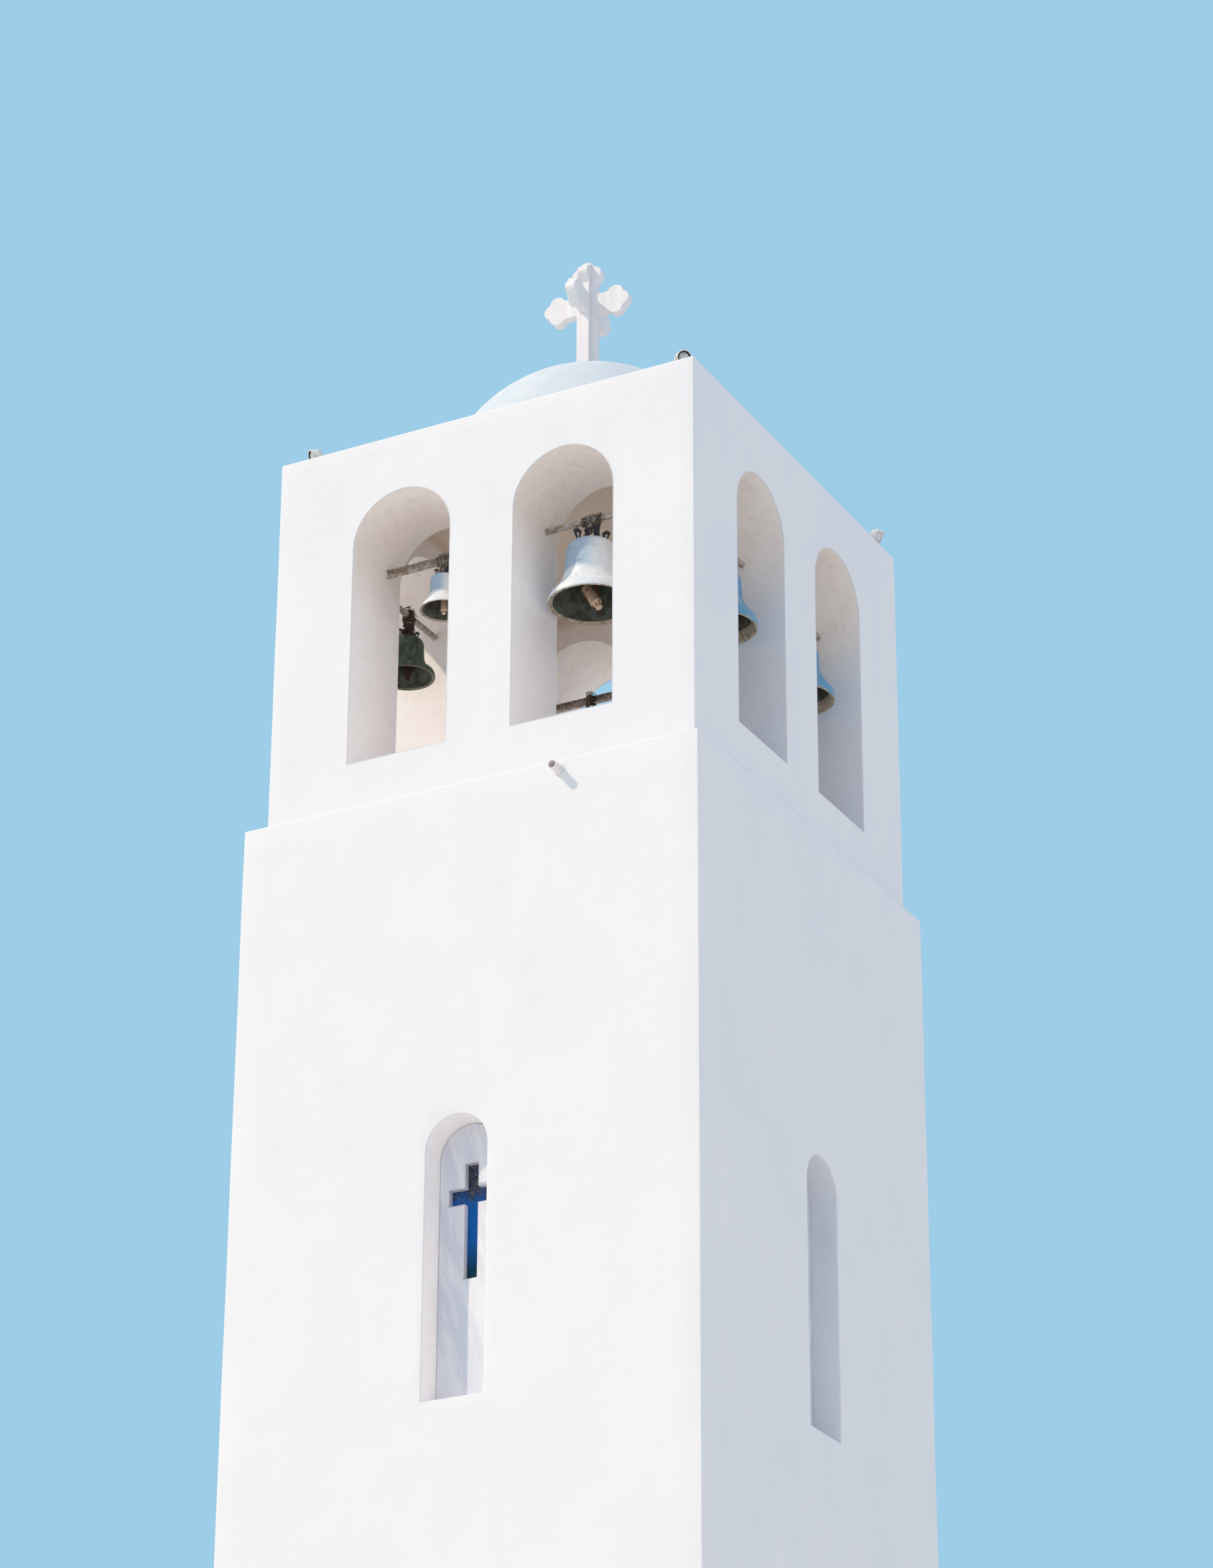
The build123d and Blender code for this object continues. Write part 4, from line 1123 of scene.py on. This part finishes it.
def leaning(angle):
    """Upward direction that leans by an angle about the Y axis."""
    return Vector((sin(angle), 0, cos(angle)))


def forge_clapper(name):
    """One clapper with its finishes."""
    node = "clapper_" + name
    centre, mouth, radius = bell_place(name)
    pivot = Vector((*centre, mouth + (CROWN - SHELL) * radius - STAPLE_DROP))
    bm = copied(node)
    sides = [face for face in bm.faces if abs(face.normal.y) < 0.1 and face.normal.x > 0.5]
    flat = max(sides, key=lambda face: face.calc_area())
    tilt = -flat.normal.z / flat.normal.x
    rod_end = pivot - leaning(tilt) * (ROD_END * radius + (CROWN - SHELL) * radius - STAPLE_DROP)
    along = leaning(tilt - STRIKER_LEAN.get(name, 0))
    for face in bm.faces:
        way = face.calc_center_median() - rod_end
        reach = way.dot(along) / radius
        out = (way - along * way.dot(along)).length / radius
        on_striker = reach < STRIKER_FROM and out < STRIKER_OUT
        if not on_striker or reach > GROOVE[1]:
            face.material_index = 1
        elif reach > GROOVE[0]:
            face.material_index = 2
    bevel(bm, [edge for edge in sharp_edges(bm) if edge.is_convex], CLAPPER_EDGE, 2)
    body = node if node in frame["bodies"] else TOWER
    finishes = [worn_iron, red_rust, groove_black]
    if name.startswith("left"):
        finishes = [dark_rust, dark_rust, groove_black]
    piece = make_piece("forged_" + node, bm, finishes, [node], body=body)
    settled = piece.modifiers.new("settled", "WEIGHTED_NORMAL")
    settled.keep_sharp = True


for name in KINDS:
    forge_clapper(name)

# %% [markdown]
# Chain wound round a beam
#
# Every bell hangs from a loop of chain. At the front and on the right, what is left of the chain is wound
# round the beam and tucked between the canons. A link is a ring that is stretched, and links follow each
# other along a line of points, each turned a quarter against the last one.

# %% Make a run of chain
CHAIN_WIRE = 0.0036
CHAIN_WIDTH = 0.0105
CHAIN_PITCH = 0.025


def link(bm, start, end, quarter):
    """One link between two points."""
    run = end - start
    side = run.orthogonal().normalized()
    if quarter:
        side = side.cross(run).normalized()
    ring = bmesh.new()
    upright = Matrix.Translation((0, CHAIN_WIDTH, 0)) @ Matrix.Rotation(pi / 2, 4, "Y")
    bmesh.ops.create_circle(ring, segments=6, radius=CHAIN_WIRE, matrix=upright)
    bmesh.ops.spin(ring, geom=ring.verts[:] + ring.edges[:], cent=(0, 0, 0), axis=(1, 0, 0), angle=tau,
                   steps=10, use_merge=True)
    merge(ring, 1e-6)
    stretch = max(run.length / 2 + CHAIN_WIRE - CHAIN_WIDTH, 0)
    for vert in ring.verts:
        vert.co.z += stretch if vert.co.z > 1e-6 else -stretch if vert.co.z < -1e-6 else 0
    basis = facing(side.cross(run.normalized()), side, run.normalized())
    ring.transform(Matrix.Translation((start + end) / 2) @ basis)
    face_out(ring)
    join(bm, as_mesh(ring))


def run_of_chain(bm, points):
    """Links along a line of points, about a pitch apart."""
    lengths = [0.0]
    for first, second in zip(points, points[1:]):
        lengths.append(lengths[-1] + (second - first).length)
    count = max(2, round(lengths[-1] / CHAIN_PITCH))
    spots = []
    at = 0
    for number in range(count + 1):
        goal = lengths[-1] * number / count
        while at < len(points) - 2 and lengths[at + 1] < goal:
            at += 1
        share = (goal - lengths[at]) / (lengths[at + 1] - lengths[at])
        spots.append(points[at].lerp(points[at + 1], min(share, 1.0)))
    for number, (start, end) in enumerate(zip(spots, spots[1:])):
        link(bm, start, end, number % 2 == 1)


def half_box(node, across, sign):
    """Box of the part of a node that lies on one side of the belfry's middle."""
    middle = (BELFRY_X, BELFRY_Y)[across]
    verts = frame["nodes"][node].data.vertices
    return corners([vert.co for vert in verts if (vert.co[across] - middle) * sign > 0])


def hanger_of(name):
    """Where a bell hangs: its beam's middle over the bell, the beam's half height, and the canon's bar."""
    wall, side = name.split("_")
    across = 0 if wall in ("front", "back") else 1
    sign = -1 if side in ("left", "front") else 1
    beam_low, beam_high = half_box("bell_beams_" + wall, across, sign)
    bell_low, bell_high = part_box("bell_" + name)
    middle = (bell_low + bell_high) / 2
    beam_middle = (beam_low + beam_high) / 2
    beam_middle[across] = middle[across]
    return beam_middle, (beam_high.z - beam_low.z) / 2, bell_high.z, across


# %% Wind the chains
CHAIN_OFF_BEAM = 0.010
TURN_STEPS = 14
TAIL_STEPS = 8


def wound_chain(name, turns, spread):
    """Turns of chain round a beam, with a tail on each side that hangs down among the canons."""
    centre, half, canon_top, across = hanger_of(name)
    radius = bell_place(name)[2]
    along = Vector((1, 0, 0)) if across == 0 else Vector((0, 1, 0))
    sideways = UP.cross(along)
    total = turns * TURN_STEPS
    reach = spread[1] - spread[0]
    bm = bmesh.new()
    for sign in (-1, 1):
        points = []
        for step in range(total + 1):
            angle = tau * step / TURN_STEPS
            wobble = 0.003 * noise.noise(Vector((step * 0.7, sign * 3, radius * 9)))
            out = half + CHAIN_OFF_BEAM + wobble
            spot = centre + along * sign * (spread[0] + reach * step / total)
            points.append(spot + UP * cos(angle) * out + sideways * sign * sin(angle) * out)
        tail = points[-1]
        hook = Vector((centre.x, centre.y, canon_top - 0.16 * radius)) + along * sign * spread[1] * 0.9
        for step in range(1, TAIL_STEPS + 1):
            share = step / TAIL_STEPS
            sag = sideways * -sign * (0.030 + 0.02 * sin(share * pi))
            points.append(tail.lerp(hook, share) + sag * min(share * 3, 1))
        run_of_chain(bm, points)
    make_piece("wound_chain_" + name, bm, [chain_iron])


wound_chain("front_right", 2, (0.034, 0.082))
wound_chain("front_left", 1, (0.034, 0.060))
wound_chain("right_front", 2, (0.020, 0.060))
wound_chain("right_back", 2, (0.020, 0.060))

# %% [markdown]
# Wads of old wire
#
# The green bells and those at the back are tied with a thick wad of rusty wire that is wound round the
# chain many times and left shaggy. Each strand is a curve of its own that goes round the hanger at a
# slant, a little nearer or further each time, and all strands are made into one mesh.

# %% Wind the wads
WAD_WIRE = 0.0022
WAD_ABOVE_BEAM = 0.030
WAD_BELOW_CANON = 0.075
STRAND_STEPS = 12
STRAND_TURNS = 0.85
NEXT_START = 0.381966
NEXT_LEVEL = 0.618034


def strands_to_bmesh(strands):
    """Round wires along smooth lines, each of which a list of points pulls, as one bmesh."""
    curve = bpy.data.curves.new("strands", "CURVE")
    curve.dimensions = "3D"
    curve.bevel_depth = WAD_WIRE
    curve.bevel_resolution = 1
    curve.resolution_u = 2
    curve.use_fill_caps = True
    for points in strands:
        spline = curve.splines.new("NURBS")
        spline.points.add(len(points) - 1)
        for slot, point in zip(spline.points, points):
            slot.co = (*point, 1)
        spline.order_u = 3
        spline.use_endpoint_u = True
    holder = as_object("strands", curve)
    bm = worked_out(holder)
    bpy.data.objects.remove(holder)
    return bm


def wad(name, reach, strands):
    """Strands wound round a hanger from over its beam down to the canons."""
    centre, half, canon_top, _ = hanger_of(name)
    high = centre.z + half + WAD_ABOVE_BEAM
    low = canon_top - WAD_BELOW_CANON
    lines = []
    for strand in range(strands):
        seed = Vector((strand * 1.7, len(name) * 0.9, 4.1))
        start = tau * (strand * NEXT_START)
        level = low + (high - low) * ((strand * NEXT_LEVEL) % 1.0)
        slant = 0.05 * noise.noise(seed)
        size = reach * (0.75 + 0.35 * noise.noise(seed * 2))
        points = []
        for step in range(STRAND_STEPS + 1):
            angle = start + tau * STRAND_TURNS * step / STRAND_STEPS
            out = size * (1 + 0.22 * noise.noise(seed + Vector((step * 0.5, 0, 0))))
            if strand % 3 == 0:
                out *= 1 + 3 * max(0, step / STRAND_STEPS - 0.85)
            lift = slant * cos(angle + strand) + 0.012 * noise.noise(seed + Vector((0, step * 0.7, 0)))
            points.append(Vector((centre.x + cos(angle) * out, centre.y + sin(angle) * out, level + lift)))
        lines.append(points)
    make_piece("wire_wad_" + name, strands_to_bmesh(lines), [old_wire])


for side in ("front", "back"):
    wad("left_" + side, 0.052, 90)
for side in ("left", "right"):
    wad("back_" + side, 0.046, 60)

# %% [markdown]
# The drain
#
# A plastic pipe drains the belfry's floor through the front wall, with a smear of pale mortar round it.

# %% Finish the drain
refinish("drain_pipe", two_tone("drain_plastic", (240, 238, 236), (232, 222, 218), 0.05, 0.5))
refinish("drain_collar", two_tone("mortar", (241, 240, 239), (236, 224, 218), 0.04, 0.9))

# %% [markdown]
# The lamps
#
# Four small spot lamps stand near the corners of the roof. Each is a round housing with a white rim and a
# pale lens in a recess, whose wall and ring are painted black as painted shade, held in a fork on a short
# post. Housing and post are turned, and the fork is a strip that is bent twice. A lamp is made upright at
# the origin and then turned to look over its corner.

# %% Turn a lamp
LAMP_TILT = radians(20)
LAMP_HEAD = 0.128
LENS_EDGE = 0.0385
BAND_EDGE = 0.0505
GLASS_FROM = 0.03
HOUSING = [
    (0, -0.046), (0.028, -0.046), (0.033, -0.042), (0.053, -0.014), (0.055, -0.008), (0.055, 0.028),
    (0.058, 0.030), (0.058, 0.044), (0.057, 0.046), (0.051, 0.046), (0.050, 0.044), (0.050, 0.036),
    (0.038, 0.035), (0.036, 0.037), (0.024, 0.041), (0.012, 0.043), (0, 0.0435),
]
POST = [
    (0, 0.0002), (0.033, 0.0002), (0.034, 0.002), (0.034, 0.006), (0.031, 0.008), (0.013, 0.010),
    (0.009, 0.014), (0.009, LAMP_HEAD - 0.063), (0, LAMP_HEAD - 0.063),
]
FORK_INSIDE = 0.0605
FORK_STRIP = 0.004
FORK_WIDTH = 0.020
FORK_RISE = 0.012
FORK_EDGE = 0.0008
LAMP_STEPS = 40
POST_STEPS = 28


def turned(outline, steps):
    """A turned shape round the Z axis, as a bmesh of its own."""
    bm = bmesh.new()
    turn(bm, outline, (0, 0), steps, close=False)
    return bm


def housing():
    """The lamp's housing, looking along X and down, as a mesh."""
    bm = turned(HOUSING, LAMP_STEPS)
    # Painted shade: the recess's wall and ring round the lens take the black finish.
    for face in bm.faces:
        middle = face.calc_center_median()
        out = max(Vector(vert.co[:2]).length for vert in face.verts)
        if middle.z > GLASS_FROM and out < LENS_EDGE:
            face.material_index = 2
        elif middle.z > GLASS_FROM and out < BAND_EDGE:
            face.material_index = 1
    bm.transform(Matrix.Translation((0, 0, LAMP_HEAD)) @ Matrix.Rotation(pi / 2 + LAMP_TILT, 4, "Y"))
    return as_mesh(bm)


def fork():
    """A strip bent into a U, which is extruded from its line, with soft corners."""
    bm = bmesh.new()
    top = LAMP_HEAD + FORK_RISE
    foot = LAMP_HEAD - FORK_INSIDE - FORK_STRIP
    bends = [(-FORK_INSIDE, top), (-FORK_INSIDE, foot), (FORK_INSIDE, foot), (FORK_INSIDE, top)]
    verts = [bm.verts.new((-FORK_WIDTH / 2, aside, level)) for aside, level in bends]
    line = [bm.edges.new(pair) for pair in zip(verts, verts[1:])]
    pull_out(bm, bmesh.ops.extrude_edge_only(bm, edges=line), (FORK_WIDTH, 0, 0))
    face_out(bm)
    bmesh.ops.solidify(bm, geom=bm.faces[:], thickness=FORK_STRIP)
    face_out(bm)
    bevel(bm, sharp_edges(bm), FORK_EDGE, 2)
    return as_mesh(bm)


# %% Set the lamps on the roof
FOOT_TOP = 0.004
white_enamel = two_tone("lamp_enamel", (232, 231, 228), (200, 197, 192), 0.04, 0.45)
# Near black, as painted shade in the recess round the lens.
recess_painted_shade = two_tone("lamp_recess_shade", (30, 32, 36), (58, 55, 54), 0.03, 0.5)
lens = two_tone("lamp_lens", (214, 214, 208), (168, 170, 166), 0.012, 0.15)

feet = {}
for vert in frame["nodes"]["roof_lamps"].data.vertices:
    if vert.co.z < ROOF + FOOT_TOP:
        feet.setdefault((vert.co.x > BELFRY_X, vert.co.y > BELFRY_Y), []).append(vert.co.copy())

lamps = bmesh.new()
for (right_side, back_side), points in feet.items():
    foot = sum(points, Vector()) / len(points)
    lamp = bmesh.new()
    join(lamp, housing())
    join(lamp, fork(), 0)
    join(lamp, as_mesh(turned(POST, POST_STEPS)), 0)
    outwards = (1 if back_side else -1) * (radians(45) if right_side else radians(135))
    lamp.transform(Matrix.Translation((foot.x, foot.y, ROOF)) @ Matrix.Rotation(outwards, 4, "Z"))
    join(lamps, as_mesh(lamp))
make_piece("corner_lamps", lamps, [white_enamel, recess_painted_shade, lens], ["roof_lamps"])

# %% [markdown]
# The floor
#
# The tower stands on a plain pale floor, which is a stage and not a part of it.

# %% Lay the floor
ground = bmesh.new()
bmesh.ops.create_grid(ground, x_segments=1, y_segments=1, size=FLOOR_SIZE / 2)
floor = as_object("floor", as_mesh(ground, "floor"))
floor_finish = Finish("floor", roughness=0.9).give(Base_Color=colour(231, 230, 228))
floor.data.materials.append(floor_finish.material)
